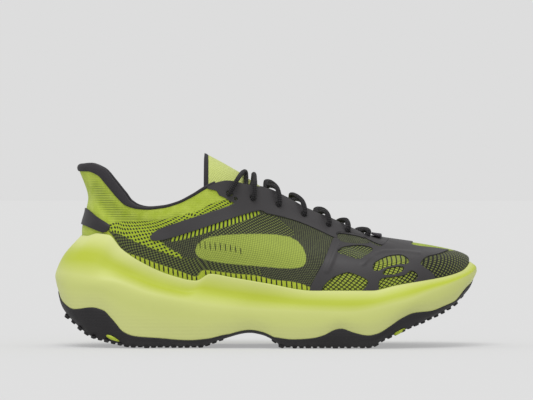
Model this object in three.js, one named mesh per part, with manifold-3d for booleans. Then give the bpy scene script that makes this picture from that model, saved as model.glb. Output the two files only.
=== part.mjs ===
// A running shoe for the right foot: a thick foam sole on a lugged rubber outsole, a knit upper
// with bonded film overlays, a padded collar, a tongue and a threaded lace.
// Millimetres. +X to the toe, +Y to the inner (medial) side, +Z up; the lugs stand on z = 0.
import * as THREE from 'three';
import { mergeVertices } from 'three/addons/utils/BufferGeometryUtils.js';
import { LoftGeometry } from 'three/addons/geometries/LoftGeometry.js';
import Module from 'manifold-3d';

const wasm = await Module();
wasm.setup();

// ---- Overall sizes: the outlines below are drawn on a pattern of the nominal sizes and scaled to these
const LENGTH = 310;
const WIDTH = 117;
const HEIGHT = 142;
const PATTERN = { length: 310, width: 117, height: 142, throatRoom: 7.56 };

// ---- Sole
const LUG_DEPTH = 3.5;
const RUBBER = 1.5;
const RUBBER_RIM = 2.2;
const FOAM_LIP = 1.0;
const BOARD = 1.4;
const SOCKLINER_FOAM = 4.2;
const SOCKLINER_CLOTH = 0.8;

// ---- Upper, from the outside inwards
const FILM = 0.9;
const KNIT = 1.8;
const STIFFENER = 1.5;
const COLLAR_PAD = 4.6;
const LINING = 1.0;

// ---- Tongue
const TONGUE_CLOTH = 1.2;
const TONGUE_PAD = 3.6;
const TONGUE_LINING = 1.0;
const TONGUE_FOLD_GAP = 4;

// ---- Lacing
const LACE = 3.6;
const EYELET_BORE = 4.8;
const LACE_CLEARANCE = 0.3 * LACE;
const AGLET_LENGTH = 14;
const AGLET_WALL = 0.5;
const EYELETS = [[128, 13], [145, 15], [163.5, 17], [182, 18], [200, 17], [214, 17], [229, 13]];
const CROSSING_STATIONS = [145.5, 154.5, 173, 191, 207, 221];
const BORE_REACH = 4;

// ---- Gaps
const GAP = 0.3;
const BOND = 0.8;

// ---- How finely the shapes are stepped
const COLUMNS = 60;
const ROWS = 8;
const SIDE = { lateral: 1, medial: -1 };

const COLOURS = {
  lime: 0xb4cc3c,
  foam: 0xc3cf50,
  charcoal: 0x403c41,
  rubber: 0x2d2b2d,
  board: 0xd8d4c8,
};

// ======== Curves ========

const alongX = (station) => (station / PATTERN.length - 0.5) * LENGTH;
const acrossY = (y) => y * WIDTH / PATTERN.width;
const upZ = (z) => z * HEIGHT / PATTERN.height;
const stationOf = (x) => (x / LENGTH + 0.5) * PATTERN.length;

// A smooth curve through [position, value] points that does not overshoot between them.
function curveThrough(points) {
  const last = points.length - 1;
  const steps = [];
  for (let i = 0; i < last; i += 1) {
    const width = points[i + 1][0] - points[i][0];
    steps.push({ width, slope: (points[i + 1][1] - points[i][1]) / width });
  }
  const slopes = points.map((point, i) => {
    if (i === 0) return steps[0].slope;
    if (i === last) return steps[last - 1].slope;
    const before = steps[i - 1];
    const after = steps[i];
    if (before.slope * after.slope <= 0) return 0;
    const heavy = 2 * after.width + before.width;
    const light = after.width + 2 * before.width;
    return (heavy + light) / (heavy / before.slope + light / after.slope);
  });
  return (position) => {
    const inside = Math.min(Math.max(position, points[0][0]), points[last][0]);
    let i = 0;
    while (i < last - 1 && inside > points[i + 1][0]) i += 1;
    const { width } = steps[i];
    const t = (inside - points[i][0]) / width;
    const rest = 1 - t;
    return points[i][1] * (1 + 2 * t) * rest * rest
      + slopes[i] * width * t * rest * rest
      + points[i + 1][1] * t * t * (3 - 2 * t)
      - slopes[i + 1] * width * t * t * rest;
  };
}

// The same, repeating every full turn.
function curveRound(points) {
  const turn = 2 * Math.PI;
  const before = points.map(([angle, value]) => [angle - turn, value]);
  const after = points.map(([angle, value]) => [angle + turn, value]);
  return curveThrough([...before, ...points, ...after]);
}

// A closed line round the shoe. Angle 0 is the heel, pi the toe; the lateral side comes first.
// lateral and medial are [station, half width], rise is [station, height].
function loop({ heel, toe, toeY = 0, lateral, medial, rise }) {
  const angleOf = (station) => Math.acos(THREE.MathUtils.clamp(1 - 2 * (station - heel) / (toe - heel), -1, 1));
  const mirrored = (station) => 2 * Math.PI - angleOf(station);
  const sides = curveRound([
    [0, 0],
    ...lateral.map(([station, y]) => [angleOf(station), -y]),
    [Math.PI, toeY],
    ...medial.map(([station, y]) => [mirrored(station), y]).reverse(),
  ]);
  const inner = rise.filter(([station]) => station > heel && station < toe);
  const heights = curveRound([
    [0, rise[0][1]],
    ...inner.map(([station, z]) => [angleOf(station), z]),
    [Math.PI, rise[rise.length - 1][1]],
    ...inner.map(([station, z]) => [mirrored(station), z]).reverse(),
  ]);
  return (angle) => new THREE.Vector3(
    alongX(heel + (toe - heel) * (1 - Math.cos(angle)) / 2),
    acrossY(sides(angle)),
    upZ(heights(angle)),
  );
}

// ======== Outlines of the sole ========

// The line of the lug tips, from the side: a rocker at the heel and toe and an arch between.
const lugTips = curveThrough([
  [0, 27], [14, 17], [19, 12.5], [28, 6.6], [37, 4.4], [46, 2.2], [58, 0], [106, 0], [121, 4.4], [143, 9.6],
  [152, 8.1], [160, 4.4], [167, 0], [230, 0], [240, 5.2], [258, 13.3], [275, 20.6], [284, 25], [293, 30.2],
  [302, 39.8], [310, 46],
]);
const treadZ = (x) => upZ(lugTips(stationOf(x))) + LUG_DEPTH;

// The top of the foam under the foot.
const footbed = curveThrough([
  [28, 42], [60, 38.5], [120, 36.5], [170, 30.5], [215, 27], [250, 31], [280, 40], [296, 48],
]);
const footbedZ = (x) => upZ(footbed(stationOf(x)));

const treadLoop = loop({
  heel: 9,
  toe: 300,
  toeY: 6,
  lateral: [[22, 28], [45, 38.5], [70, 41.5], [110, 38], [140, 38], [175, 45], [215, 51], [250, 47], [280, 31]],
  medial: [[22, 28], [45, 38.5], [70, 40.5], [105, 36], [135, 33], [165, 37.5], [215, 50], [250, 49], [280, 36]],
  rise: [[9, 0], [300, 0]],
});

const rimLoop = loop({
  heel: 1.5,
  toe: 308.5,
  toeY: 6,
  lateral: [[15, 34], [40, 45.5], [70, 48], [110, 45], [140, 45], [175, 51.5], [215, 57], [250, 54], [280, 42]],
  medial: [[15, 34], [40, 45], [70, 47], [105, 42.5], [135, 40], [165, 44], [215, 56], [250, 56], [280, 46.5]],
  rise: [
    [1.5, 40.5], [5.9, 32.4], [14.7, 28], [28, 29.5], [36.8, 27.2], [45.7, 17.7], [59, 8.8], [98.7, 5.8],
    [136, 11], [174, 6.6], [196, 9.6], [209, 14.7], [229, 9.6], [244.5, 16.2], [262, 25.8], [284, 30.2],
    [293, 33.9], [302, 40.5], [308.5, 53.7],
  ],
});

const bellyLoop = loop({
  heel: 0,
  toe: 310,
  toeY: 6,
  lateral: [[15, 35], [40, 47], [70, 49.5], [110, 46.5], [140, 46.5], [175, 53], [215, 58.5], [250, 56], [280, 44]],
  medial: [[15, 35], [40, 46.5], [70, 48.5], [105, 44], [135, 41.5], [165, 45.5], [215, 58.5], [250, 57.5], [280, 48]],
  rise: [[0, 54.5], [40, 49], [75, 38], [120, 30], [165, 27], [215, 26], [250, 33], [280, 43], [310, 56]],
});

// ======== Outlines of the upper, from the footbed to the collar and throat edge ========

const featherLoop = loop({
  heel: 28,
  toe: 296,
  toeY: 6,
  lateral: [[45, 27], [62, 31], [100, 31.5], [130, 33], [170, 39], [215, 45], [250, 42], [280, 27]],
  medial: [[45, 27], [62, 31], [100, 29], [130, 27.5], [170, 34], [215, 44], [250, 43.5], [280, 33]],
  rise: [[28, 42.6], [60, 39.1], [120, 37.1], [170, 31.1], [215, 27.6], [250, 31.6], [280, 40.6], [296, 48.6]],
});

const biteLoop = loop({
  heel: 19.3,
  toe: 304.3,
  toeY: 6,
  lateral: [[30, 25.5], [45, 34.5], [62, 37.5], [100, 38.5], [130, 40.5], [170, 46.5], [215, 52], [250, 48], [280, 35.5]],
  medial: [[30, 25.5], [45, 34.5], [62, 37], [100, 35.5], [130, 35], [170, 41], [215, 51], [250, 50], [280, 41]],
  rise: [
    [19.3, 81], [24.6, 81], [32, 83], [40.6, 82], [49.7, 72], [67.7, 60.4], [85.4, 53], [103.8, 49],
    [114, 54], [129.6, 51.5], [156, 47], [187.8, 42], [231, 42], [249, 45.7], [266.5, 48.6], [284, 51.5],
    [297.5, 55.5], [304.3, 62],
  ],
});

const waistLoop = loop({
  heel: 22.3,
  toe: 299.5,
  toeY: 6,
  lateral: [[34, 26.5], [48, 34.5], [65, 38], [100, 42], [130, 44], [165, 46], [210, 48.5], [245, 44], [275, 31.5]],
  medial: [[34, 26.5], [48, 34.5], [65, 37.5], [100, 39], [130, 39], [165, 41], [210, 47], [245, 45.5], [275, 36]],
  rise: [
    [22.3, 100], [30, 98], [50, 86], [70, 78], [95, 73], [120, 74], [150, 70], [185, 64], [213, 61],
    [240, 61.5], [265, 63.5], [285, 66.5], [299.5, 68.5],
  ],
});

const instepLoop = loop({
  heel: 23.4,
  toe: 276,
  toeY: 5,
  lateral: [[35, 24], [50, 32.5], [68, 36.5], [95, 40.5], [120, 39.5], [150, 36], [185, 34], [215, 33], [245, 26], [262, 18]],
  medial: [[35, 24], [50, 32], [68, 36], [95, 39.5], [120, 38.5], [150, 34], [185, 32.5], [215, 33], [245, 28], [262, 21]],
  rise: [
    [23.4, 112], [31, 109], [45, 99], [60, 91.5], [80, 88], [100, 93], [120, 97], [145, 92], [170, 86],
    [197, 80], [225, 72], [250, 71.5], [276, 74.2],
  ],
});

const topLoop = loop({
  heel: 17,
  toe: 242,
  toeY: 0.5,
  lateral: [[24, 14], [33, 23], [45, 29.5], [67, 35.5], [100, 37], [125, 35.5], [145, 30.5], [170, 20.5], [200, 16], [225, 12]],
  medial: [[24, 14], [33, 23], [45, 29.5], [67, 35], [100, 36], [125, 34.5], [145, 29.5], [170, 20], [200, 15.5], [225, 12]],
  rise: [
    [17, 129.6], [24, 129.6], [31.7, 126.6], [39, 118.7], [46.7, 109.7], [52.7, 104.4], [60.2, 102.2],
    [67.7, 101.6], [78.2, 102.5], [89.5, 105.5], [100.8, 111], [111.3, 117.3], [119.3, 120.8], [126, 122],
    [142.5, 118.5], [151.7, 117], [168.6, 109.7], [183.3, 101.6], [202.5, 93.5], [215, 87.6], [229.7, 81],
    [242, 79.3],
  ],
});

// ======== The surface of the upper ========

const UPPER_LOOPS = [featherLoop, biteLoop, waistLoop, instepLoop, topLoop];
const BITE = 1 / (UPPER_LOOPS.length - 1);

// A point on the outside of the knit: height 0 is the feather edge, 1 the collar and throat edge.
function onUpper(angle, height) {
  const column = UPPER_LOOPS.map((line) => line(angle));
  const spans = column.length - 1;
  const span = Math.min(Math.max(Math.floor(height * spans), 0), spans - 1);
  const t = height * spans - span;
  const pick = (i) => column[Math.min(Math.max(i, 0), spans)];
  const [a, b, c, d] = [pick(span - 1), pick(span), pick(span + 1), pick(span + 2)];
  const blend = (p, q, r, s) => 0.5 * (2 * q + (r - p) * t + (2 * p - 5 * q + 4 * r - s) * t * t
    + (3 * q - p - 3 * r + s) * t * t * t);
  return new THREE.Vector3(blend(a.x, b.x, c.x, d.x), blend(a.y, b.y, c.y, d.y), blend(a.z, b.z, c.z, d.z));
}

// The point a distance outside (+) or inside (-) the knit's face.
function offUpper(angle, height, lift) {
  const step = 0.004;
  const low = Math.min(Math.max(height, step), 1 - step);
  const round = onUpper(angle + step, low).sub(onUpper(angle - step, low));
  const up = onUpper(angle, low + step).sub(onUpper(angle, low - step));
  const outward = new THREE.Vector3().crossVectors(round, up).normalize();
  return onUpper(angle, height).addScaledVector(outward, lift);
}

// How much of the height one millimetre is, close to the collar and throat edge.
const perMillimetre = (angle) => 0.25 / onUpper(angle, 1).distanceTo(onUpper(angle, 0.75));

// The angle of the column whose point at `heightAt(angle)` stands at a station.
function angleAtStation(station, side, heightAt) {
  let low = 0.001;
  let high = Math.PI - 0.001;
  const x = alongX(station);
  for (let i = 0; i < 40; i += 1) {
    const middle = (low + high) / 2;
    const angle = side * middle;
    if (onUpper(angle, heightAt(angle)).x < x) low = middle;
    else high = middle;
  }
  return side * low;
}

// The point at a station, a setback from the collar and throat edge and a lift off the knit.
function byEdge(station, side, setback, lift) {
  const heightAt = (angle) => 1 - setback * perMillimetre(angle);
  const angle = angleAtStation(station, side, heightAt);
  return offUpper(angle, heightAt(angle), lift);
}

// ======== Solids ========

const spread = (from, to, count) => Array.from({ length: count + 1 }, (_, i) => from + (to - from) * i / count);

function signedVolume(geometry) {
  const { position } = geometry.attributes;
  const [a, b, c] = [new THREE.Vector3(), new THREE.Vector3(), new THREE.Vector3()];
  let volume = 0;
  for (let i = 0; i < geometry.index.count; i += 3) {
    a.fromBufferAttribute(position, geometry.index.getX(i));
    b.fromBufferAttribute(position, geometry.index.getX(i + 1));
    c.fromBufferAttribute(position, geometry.index.getX(i + 2));
    volume += a.dot(b.cross(c)) / 6;
  }
  return volume;
}

// One closed body with shared corners, no empty faces, and its faces outwards.
function closed(geometry) {
  const bare = new THREE.BufferGeometry();
  bare.setAttribute('position', geometry.attributes.position);
  bare.setIndex(geometry.index);
  const merged = mergeVertices(bare, 1e-4);
  const faces = [];
  for (let i = 0; i < merged.index.count; i += 3) {
    const face = [merged.index.getX(i), merged.index.getX(i + 1), merged.index.getX(i + 2)];
    if (new Set(face).size === 3) faces.push(face);
  }
  merged.setIndex(faces.flat());
  if (signedVolume(merged) < 0) merged.setIndex(faces.map((face) => face.reverse()).flat());
  return merged;
}

function toManifold(geometry) {
  return new wasm.Manifold(new wasm.Mesh({
    numProp: 3,
    vertProperties: new Float32Array(geometry.attributes.position.array),
    triVerts: new Uint32Array(geometry.index.array),
  }));
}

function fromManifold(solid) {
  const mesh = solid.getMesh();
  const geometry = new THREE.BufferGeometry();
  geometry.setAttribute('position', new THREE.BufferAttribute(new Float32Array(mesh.vertProperties), 3));
  geometry.setIndex(Array.from(mesh.triVerts));
  return closed(geometry);
}

// Full rings stacked from the middle of the bottom, outwards, up and back to the middle of the top.
const stackOfRings = (rings) => closed(new LoftGeometry(rings, { closed: true }));

// Twice the area of a section, as a vector square to it.
function sectionArea(section) {
  return section.reduce((sum, point, i) => {
    const next = section[(i + 1) % section.length];
    return sum.add(new THREE.Vector3().crossVectors(point, next));
  }, new THREE.Vector3());
}

// Closed sections in a row with both ends capped, each wound to face along the row.
function rowOfSections(sections) {
  const along = sections[1][0].clone().sub(sections[0][0]);
  const facing = sectionArea(sections[0]).dot(along) > 0;
  const wound = facing ? sections : sections.map((section) => [...section].reverse());
  return closed(new LoftGeometry(wound, { closed: true, capStart: true, capEnd: true }));
}

const ringAngles = Array.from({ length: COLUMNS }, (_, i) => 2 * Math.PI * i / COLUMNS);
const ringOf = (line) => ringAngles.map((angle) => line(angle));

// A ring moved outwards in plan (+) or inwards (-), and to another height.
function grown(ring, distance, heightAt = (point) => point.z) {
  return ring.map((point, i) => {
    const ahead = ring[(i + 1) % ring.length];
    const behind = ring[(i + ring.length - 1) % ring.length];
    const out = new THREE.Vector3(ahead.y - behind.y, behind.x - ahead.x, 0).normalize().negate();
    const moved = point.clone().addScaledVector(out, -distance);
    moved.z = heightAt(moved, point);
    return moved;
  });
}

// A ring drawn in towards the line down its middle; at 0 its two sides meet.
function drawnIn(ring, share, heightAt) {
  const count = ring.length;
  return ring.map((point, i) => {
    const across = ring[(count - i) % count];
    const middle = (point.y + across.y) / 2;
    const x = (point.x + across.x) / 2;
    const moved = new THREE.Vector3(x, middle + (point.y - middle) * share, 0);
    moved.z = heightAt(moved);
    return moved;
  });
}

// A layer between two grids of points, closed along its four edges.
function layer(outer, inner) {
  const columns = outer.length;
  const rows = outer[0].length;
  const faces = [];
  const quad = (a, b, c, d) => faces.push(a, b, c, a, c, d);
  const out = (i, j) => i * rows + j;
  const back = (i, j) => columns * rows + out(i, j);
  for (let i = 0; i < columns - 1; i += 1) {
    for (let j = 0; j < rows - 1; j += 1) {
      quad(out(i, j), out(i + 1, j), out(i + 1, j + 1), out(i, j + 1));
      quad(back(i, j), back(i, j + 1), back(i + 1, j + 1), back(i + 1, j));
    }
    quad(out(i, 0), back(i, 0), back(i + 1, 0), out(i + 1, 0));
    quad(out(i, rows - 1), out(i + 1, rows - 1), back(i + 1, rows - 1), back(i, rows - 1));
  }
  for (let j = 0; j < rows - 1; j += 1) {
    quad(out(0, j), out(0, j + 1), back(0, j + 1), back(0, j));
    quad(out(columns - 1, j), back(columns - 1, j), back(columns - 1, j + 1), out(columns - 1, j + 1));
  }
  const geometry = new THREE.BufferGeometry().setFromPoints([...outer.flat(), ...inner.flat()]);
  geometry.setIndex(faces);
  return closed(geometry);
}

// The angles of the shared columns between two angles, with the two ends themselves.
function columnsBetween(from, to) {
  const step = 2 * Math.PI / COLUMNS;
  const first = Math.floor(from / step + 1.2);
  const last = Math.ceil(to / step - 1.2);
  return [from, ...spread(first * step, last * step, last - first), to];
}

// A patch of a layer on the upper: between two angles, with a lower and an upper edge and two lifts.
function patch({ from, to, heightsAt, inner, outer }) {
  const grid = (lift) => columnsBetween(from, to).map((angle) => (
    heightsAt(angle).map((height) => offUpper(angle, height, typeof lift === 'function' ? lift(height) : lift))
  ));
  return layer(grid(outer), grid(inner));
}

// A round bore through the layers at a place by the throat edge.
function boreCutter(station, setback, side) {
  const reach = KNIT + FILM + BORE_REACH;
  const outside = byEdge(station, side, setback, reach);
  const inside = byEdge(station, side, setback, -reach);
  const radius = EYELET_BORE / 2;
  const cylinder = new THREE.CylinderGeometry(radius, radius, outside.distanceTo(inside), 8);
  cylinder.applyQuaternion(new THREE.Quaternion().setFromUnitVectors(
    new THREE.Vector3(0, 1, 0),
    outside.clone().sub(inside).normalize(),
  ));
  cylinder.translate(...outside.add(inside).multiplyScalar(0.5).toArray());
  return toManifold(closed(cylinder));
}

function withEyelets(geometry, side) {
  return fromManifold(EYELETS.reduce(
    (solid, [station, setback]) => solid.subtract(boreCutter(station, setback, side)),
    toManifold(geometry),
  ));
}

// ======== Assembly ========

const shoe = new THREE.Group();

function add(name, geometry, colour, roughness) {
  const material = new THREE.MeshStandardMaterial({ color: colour, roughness, metalness: 0 });
  const mesh = new THREE.Mesh(geometry, material);
  mesh.name = name;
  shoe.add(mesh);
}

// ---- Outsole: one rubber tray, turned up round the foam, with its lugs moulded on
const rimZ = (moved, point) => Math.max(point.z, treadZ(moved.x) + RUBBER + 2 * GAP);
const rimRing = grown(ringOf(rimLoop), 0, rimZ);
const treadRing = grown(ringOf(treadLoop), 0, (point) => treadZ(point.x));
const trayFloorRing = grown(treadRing, -RUBBER, (point) => treadZ(point.x) + RUBBER);
const trayInnerRimRing = grown(rimRing, -RUBBER_RIM, (moved, point) => point.z);

function between(ringA, ringB, share, outward) {
  const middle = ringA.map((point, i) => point.clone().lerp(ringB[i], share));
  return grown(middle, outward);
}

const LUG_ROWS = { heel: spread(24, 106, 4), forefoot: spread(170, 290, 6) };
const LUG_LENGTH = 12;
const LUG_WIDTH = 16;
const LUGS_ACROSS = 3;

// A hexagonal lug, its tip on the line of the tips and its root inside the tray's floor.
function lug(x, y) {
  const outline = new THREE.Shape(spread(0, 5, 5).map((corner) => {
    const turn = corner * Math.PI / 3;
    return new THREE.Vector2(Math.cos(turn) * LUG_LENGTH / 2, Math.sin(turn) * LUG_WIDTH / Math.sqrt(3));
  }));
  const solid = new THREE.ExtrudeGeometry(outline, { depth: LUG_DEPTH + RUBBER / 2, bevelEnabled: false });
  const ahead = x + LUG_LENGTH / 2;
  const behind = x - LUG_LENGTH / 2;
  solid.rotateY(-Math.atan2(treadZ(ahead) - treadZ(behind), ahead - behind));
  solid.translate(x, y, treadZ(x) - LUG_DEPTH);
  solid.computeBoundingBox();
  solid.translate(0, 0, Math.max(0, -solid.boundingBox.min.z));
  return toManifold(closed(solid));
}

function outsole() {
  const floorZ = (point) => treadZ(point.x);
  const insideZ = (point) => treadZ(point.x) + RUBBER;
  let solid = toManifold(stackOfRings([
    drawnIn(trayFloorRing, 0, insideZ),
    trayFloorRing,
    between(trayFloorRing, trayInnerRimRing, 0.5, 1.2),
    trayInnerRimRing,
    rimRing,
    between(treadRing, rimRing, 0.5, 1.5),
    treadRing,
    drawnIn(treadRing, 0, floorZ),
  ]));
  [...LUG_ROWS.heel, ...LUG_ROWS.forefoot].map(alongX).forEach((x) => {
    const near = treadRing.filter((point) => Math.abs(point.x - x) < LUG_LENGTH).map((point) => point.y);
    const outermost = spread(Math.min(...near), Math.max(...near), 1).map((y) => y - Math.sign(y) * LUG_WIDTH * 0.45);
    spread(...outermost, LUGS_ACROSS - 1).forEach((y) => {
      solid = solid.add(lug(x, y));
    });
  });
  return fromManifold(solid);
}

add('outsole', outsole(), COLOURS.rubber, 0.8);

// ---- Midsole: the foam fills the tray, swells over its rim and rises in a cup round the upper
const cupRing = (height, lift) => ringAngles.map((angle) => offUpper(angle, height, lift));

function midsole() {
  const onFloor = (point) => treadZ(point.x) + RUBBER + BOND;
  const onSeat = (point) => footbedZ(point.x);
  const raised = (moved, point) => point.z + BOND;
  const belly = ringOf(bellyLoop);
  const lip = cupRing(BITE, BOND + FOAM_LIP);
  const seat = grown(cupRing(0, BOND), 0, onSeat);
  return stackOfRings([
    drawnIn(trayFloorRing, 0, onFloor),
    grown(trayFloorRing, -BOND, onFloor),
    grown(between(trayFloorRing, trayInnerRimRing, 0.5, 1.2), -BOND, raised),
    grown(trayInnerRimRing, -BOND, raised),
    grown(rimRing, 0, raised),
    between(rimRing, belly, 0.5, 0.4),
    belly,
    between(belly, lip, 0.5, 1.5),
    lip,
    cupRing(BITE, BOND),
    cupRing(BITE / 2, BOND),
    seat,
    drawnIn(seat, 0, onSeat),
  ]);
}

add('midsole', midsole(), COLOURS.foam, 0.45);

// ---- Strobel board, and the sockliner's foam and cloth: flat layers of the footbed's outline
function footbedLayer(inset, bottom, thickness) {
  const lowZ = (point) => footbedZ(point.x) + bottom;
  const highZ = (point) => footbedZ(point.x) + bottom + thickness;
  const low = grown(cupRing(0, 0), -inset, lowZ);
  const high = grown(low, 0, highZ);
  return stackOfRings([
    drawnIn(low, 0, lowZ),
    low,
    high,
    drawnIn(high, 0, highZ),
  ]);
}

const boardInset = KNIT + STIFFENER + 3 * GAP;
const linerInset = boardInset + LINING + 2 * GAP;
const linerLift = GAP + BOARD + GAP;
const clothLift = linerLift + SOCKLINER_FOAM + GAP;
add('strobel_board', footbedLayer(boardInset, GAP, BOARD), COLOURS.board, 0.9);
add('sockliner_foam', footbedLayer(linerInset, linerLift, SOCKLINER_FOAM), COLOURS.charcoal, 0.9);
add('sockliner_cloth', footbedLayer(linerInset, clothLift, SOCKLINER_CLOTH), COLOURS.charcoal, 0.95);

// ---- Knit upper: three zones that butt at a seam on each side of the forefoot
const KNIT_FOOT = 0.012;
const SEAM = 19 * 2 * Math.PI / COLUMNS;
const BUTT = 0.004;
const knitHeights = [KNIT_FOOT, ...spread(1 / ROWS, 1, ROWS - 1)];
const knit = { heightsAt: () => knitHeights, inner: -KNIT, outer: 0 };

const quarterLateral = patch({ ...knit, from: BUTT, to: SEAM - BUTT });
const quarterMedial = patch({ ...knit, from: -(SEAM - BUTT), to: -BUTT });
const vamp = patch({ ...knit, from: SEAM + BUTT, to: 2 * Math.PI - SEAM - BUTT });
add('quarter_knit_lateral', withEyelets(quarterLateral, SIDE.lateral), COLOURS.lime, 0.9);
add('quarter_knit_medial', withEyelets(quarterMedial, SIDE.medial), COLOURS.lime, 0.9);
add('vamp_knit', withEyelets(withEyelets(vamp, SIDE.lateral), SIDE.medial), COLOURS.charcoal, 0.9);

// ---- Stiffeners inside the knit: the heel counter and the toe puff
const underKnit = -(KNIT + GAP);
const stiffener = { inner: underKnit - STIFFENER, outer: underKnit };
const STIFFENER_FOOT = 0.04;
const STIFFENER_TOP = 0.5;
const COUNTER_REACH = Math.PI / 3;
const PUFF_REACH = Math.PI / 6;
const stiffenerHeights = [STIFFENER_FOOT, ...knitHeights.filter((height) => height > STIFFENER_FOOT && height <= STIFFENER_TOP)];

add('heel_counter', patch({
  ...stiffener,
  from: -COUNTER_REACH,
  to: COUNTER_REACH,
  heightsAt: () => stiffenerHeights,
}), COLOURS.board, 0.6);

add('toe_puff', patch({
  ...stiffener,
  from: Math.PI - PUFF_REACH,
  to: Math.PI + PUFF_REACH,
  heightsAt: () => stiffenerHeights,
}), COLOURS.board, 0.6);

// ---- Collar: a foam roll in a lining that turns over the top edge of the knit
const COLLAR_REACH = 14 * 2 * Math.PI / COLUMNS;
const COLLAR_FOAM_FOOT = 5 / ROWS;
const COLLAR_FOAM_TOP = 0.96;
const COLLAR_SEAT = KNIT;
const LINING_FOOT = 0.06;
const foamDepth = (height) => STIFFENER + (COLLAR_PAD - STIFFENER) * THREE.MathUtils.smoothstep(height, 0.38, 0.62);
const rollSkin = curveThrough([[17, 3], [34, 2.8], [48, 1.6], [60, 1], [120, 1]]);
const within = (from, to) => [from, ...knitHeights.filter((height) => height > from && height < to), to];

function collarLining() {
  const angles = columnsBetween(-COLLAR_REACH, COLLAR_REACH);
  const back = underKnit - COLLAR_PAD - GAP;
  const heights = within(LINING_FOOT, COLLAR_FOAM_TOP);
  const hidden = angles.map((angle) => {
    const edge = 1 + COLLAR_SEAT * perMillimetre(angle);
    return [
      ...heights.map((height) => offUpper(angle, height, underKnit - foamDepth(height) - GAP)),
      offUpper(angle, edge, back),
      offUpper(angle, edge, back / 2),
      offUpper(angle, edge, -LINING / 2),
      offUpper(angle, edge, 0),
    ];
  });
  const shown = angles.map((angle) => {
    const edge = 1 + COLLAR_SEAT * perMillimetre(angle);
    const skin = rollSkin(stationOf(onUpper(angle, 1).x)) * perMillimetre(angle);
    return [
      ...heights.map((height) => offUpper(angle, height, underKnit - foamDepth(height) - GAP - LINING)),
      offUpper(angle, edge + 0.5 * skin, back - 0.6 * LINING),
      offUpper(angle, edge + skin, back / 2),
      offUpper(angle, edge + 0.9 * skin, -LINING / 2),
      offUpper(angle, edge + 0.5 * skin, 0),
    ];
  });
  return layer(hidden, shown);
}

add('collar_foam', patch({
  from: -COLLAR_REACH,
  to: COLLAR_REACH,
  heightsAt: () => within(COLLAR_FOAM_FOOT, COLLAR_FOAM_TOP),
  inner: (height) => underKnit - foamDepth(height),
  outer: underKnit,
}), COLOURS.board, 0.95);
add('collar_lining', collarLining(), COLOURS.charcoal, 0.95);

// ---- Bonded films: an eyestay on each side of the throat, a saddle bar, the forefoot and the heel band
const film = { inner: BOND, outer: BOND + FILM };
const eyestayWidth = curveThrough([
  [112, 1.5], [119, 9], [128, 19], [145, 23], [170, 24], [190, 24], [205, 23], [225, 20], [238, 14],
]);

function eyestay(side) {
  const ends = [113, 237].map((station) => angleAtStation(station, side, () => 1)).sort((a, b) => a - b);
  const heightsAt = (angle) => {
    const one = perMillimetre(angle);
    return spread(1 - eyestayWidth(stationOf(onUpper(angle, 1).x)) * one, 1 - GAP * one, 2);
  };
  return withEyelets(patch({ ...film, from: ends[0], to: ends[1], heightsAt }), side);
}

const saddleLow = curveThrough([[72, 0.5], [80, 0.47], [100, 0.56], [125, 0.67], [137, 0.72]]);
const saddleHigh = curveThrough([[72, 0.56], [80, 0.64], [100, 0.73], [125, 0.755], [137, 0.735]]);

function saddle(side) {
  const ends = [72, 137].map((station) => angleAtStation(station, side, () => 0.65)).sort((a, b) => a - b);
  const at = (angle) => stationOf(onUpper(angle, 0.65).x);
  const heightsAt = (angle) => spread(saddleLow(at(angle)), saddleHigh(at(angle)), 2);
  return patch({ ...film, from: ends[0], to: ends[1], heightsAt });
}

function forefootFilm() {
  const reach = Math.PI * 0.3;
  const crown = (angle) => 0.1 * Math.cos((angle - Math.PI) / reach * Math.PI / 2);
  const heightsAt = (angle) => spread(BITE + 0.06, 0.62 + crown(angle), 3);
  return patch({ ...film, from: Math.PI - reach, to: Math.PI + reach, heightsAt });
}

function heelBand() {
  const reach = angleAtStation(39, SIDE.lateral, () => 0.4);
  const taper = (angle) => (angle / reach) ** 2;
  const heightsAt = (angle) => spread(0.34 - 0.03 * taper(angle), 0.5 - 0.1 * taper(angle), 2);
  return patch({ ...film, from: -reach, to: reach, heightsAt });
}

add('eyestay_lateral', eyestay(SIDE.lateral), COLOURS.charcoal, 0.55);
add('eyestay_medial', eyestay(SIDE.medial), COLOURS.charcoal, 0.55);
add('saddle_film_lateral', saddle(SIDE.lateral), COLOURS.charcoal, 0.55);
add('saddle_film_medial', saddle(SIDE.medial), COLOURS.charcoal, 0.55);
add('forefoot_film', forefootFilm(), COLOURS.charcoal, 0.55);
add('heel_band', heelBand(), COLOURS.charcoal, 0.6);

// ---- Tongue: an arched strip sewn in at the throat's base, padded past the last crossing of the lace
const TONGUE = { root: 250, bladeEnd: 136, end: 109, bindingWidth: 3.4 };
const tongueRidge = curveThrough([
  [109, 141.7], [121, 135.4], [135, 127.4], [154, 115.6], [170, 107.5], [185, 98.5], [200, 89.5], [215, 82],
  [230, 76.5], [243, 73.5], [250, 73],
]);
const tongueHalf = curveThrough([[109, 22], [125, 22.5], [140, 22.5], [170, 22], [200, 20], [225, 17], [250, 14]]);
const tongueDrop = curveThrough([[109, 23], [140, 17], [170, 13], [200, 9], [225, 6], [250, 3]]);

// The room under the throat edge for the knit and one strand of lace; the tongue lies below it.
const throatRoom = KNIT + LACE + 2 * LACE_CLEARANCE;
const tongueZ = (z) => upZ(z + PATTERN.throatRoom) - throatRoom;

// A point on the tongue: across is -1 to 1 from edge to edge, depth is below its top face.
function onTongue(station, across, depth) {
  return new THREE.Vector3(
    alongX(station),
    acrossY(tongueHalf(station)) * across,
    tongueZ(tongueRidge(station) - tongueDrop(station) * across * across) - depth,
  );
}

function tongueLayer(from, to, top, thickness, rows) {
  const grid = (depth) => spread(from, to, rows).map((station) => (
    spread(-1, 1, 8).map((share) => onTongue(station, share, depth))
  ));
  return layer(grid(top), grid(top + thickness));
}

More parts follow.
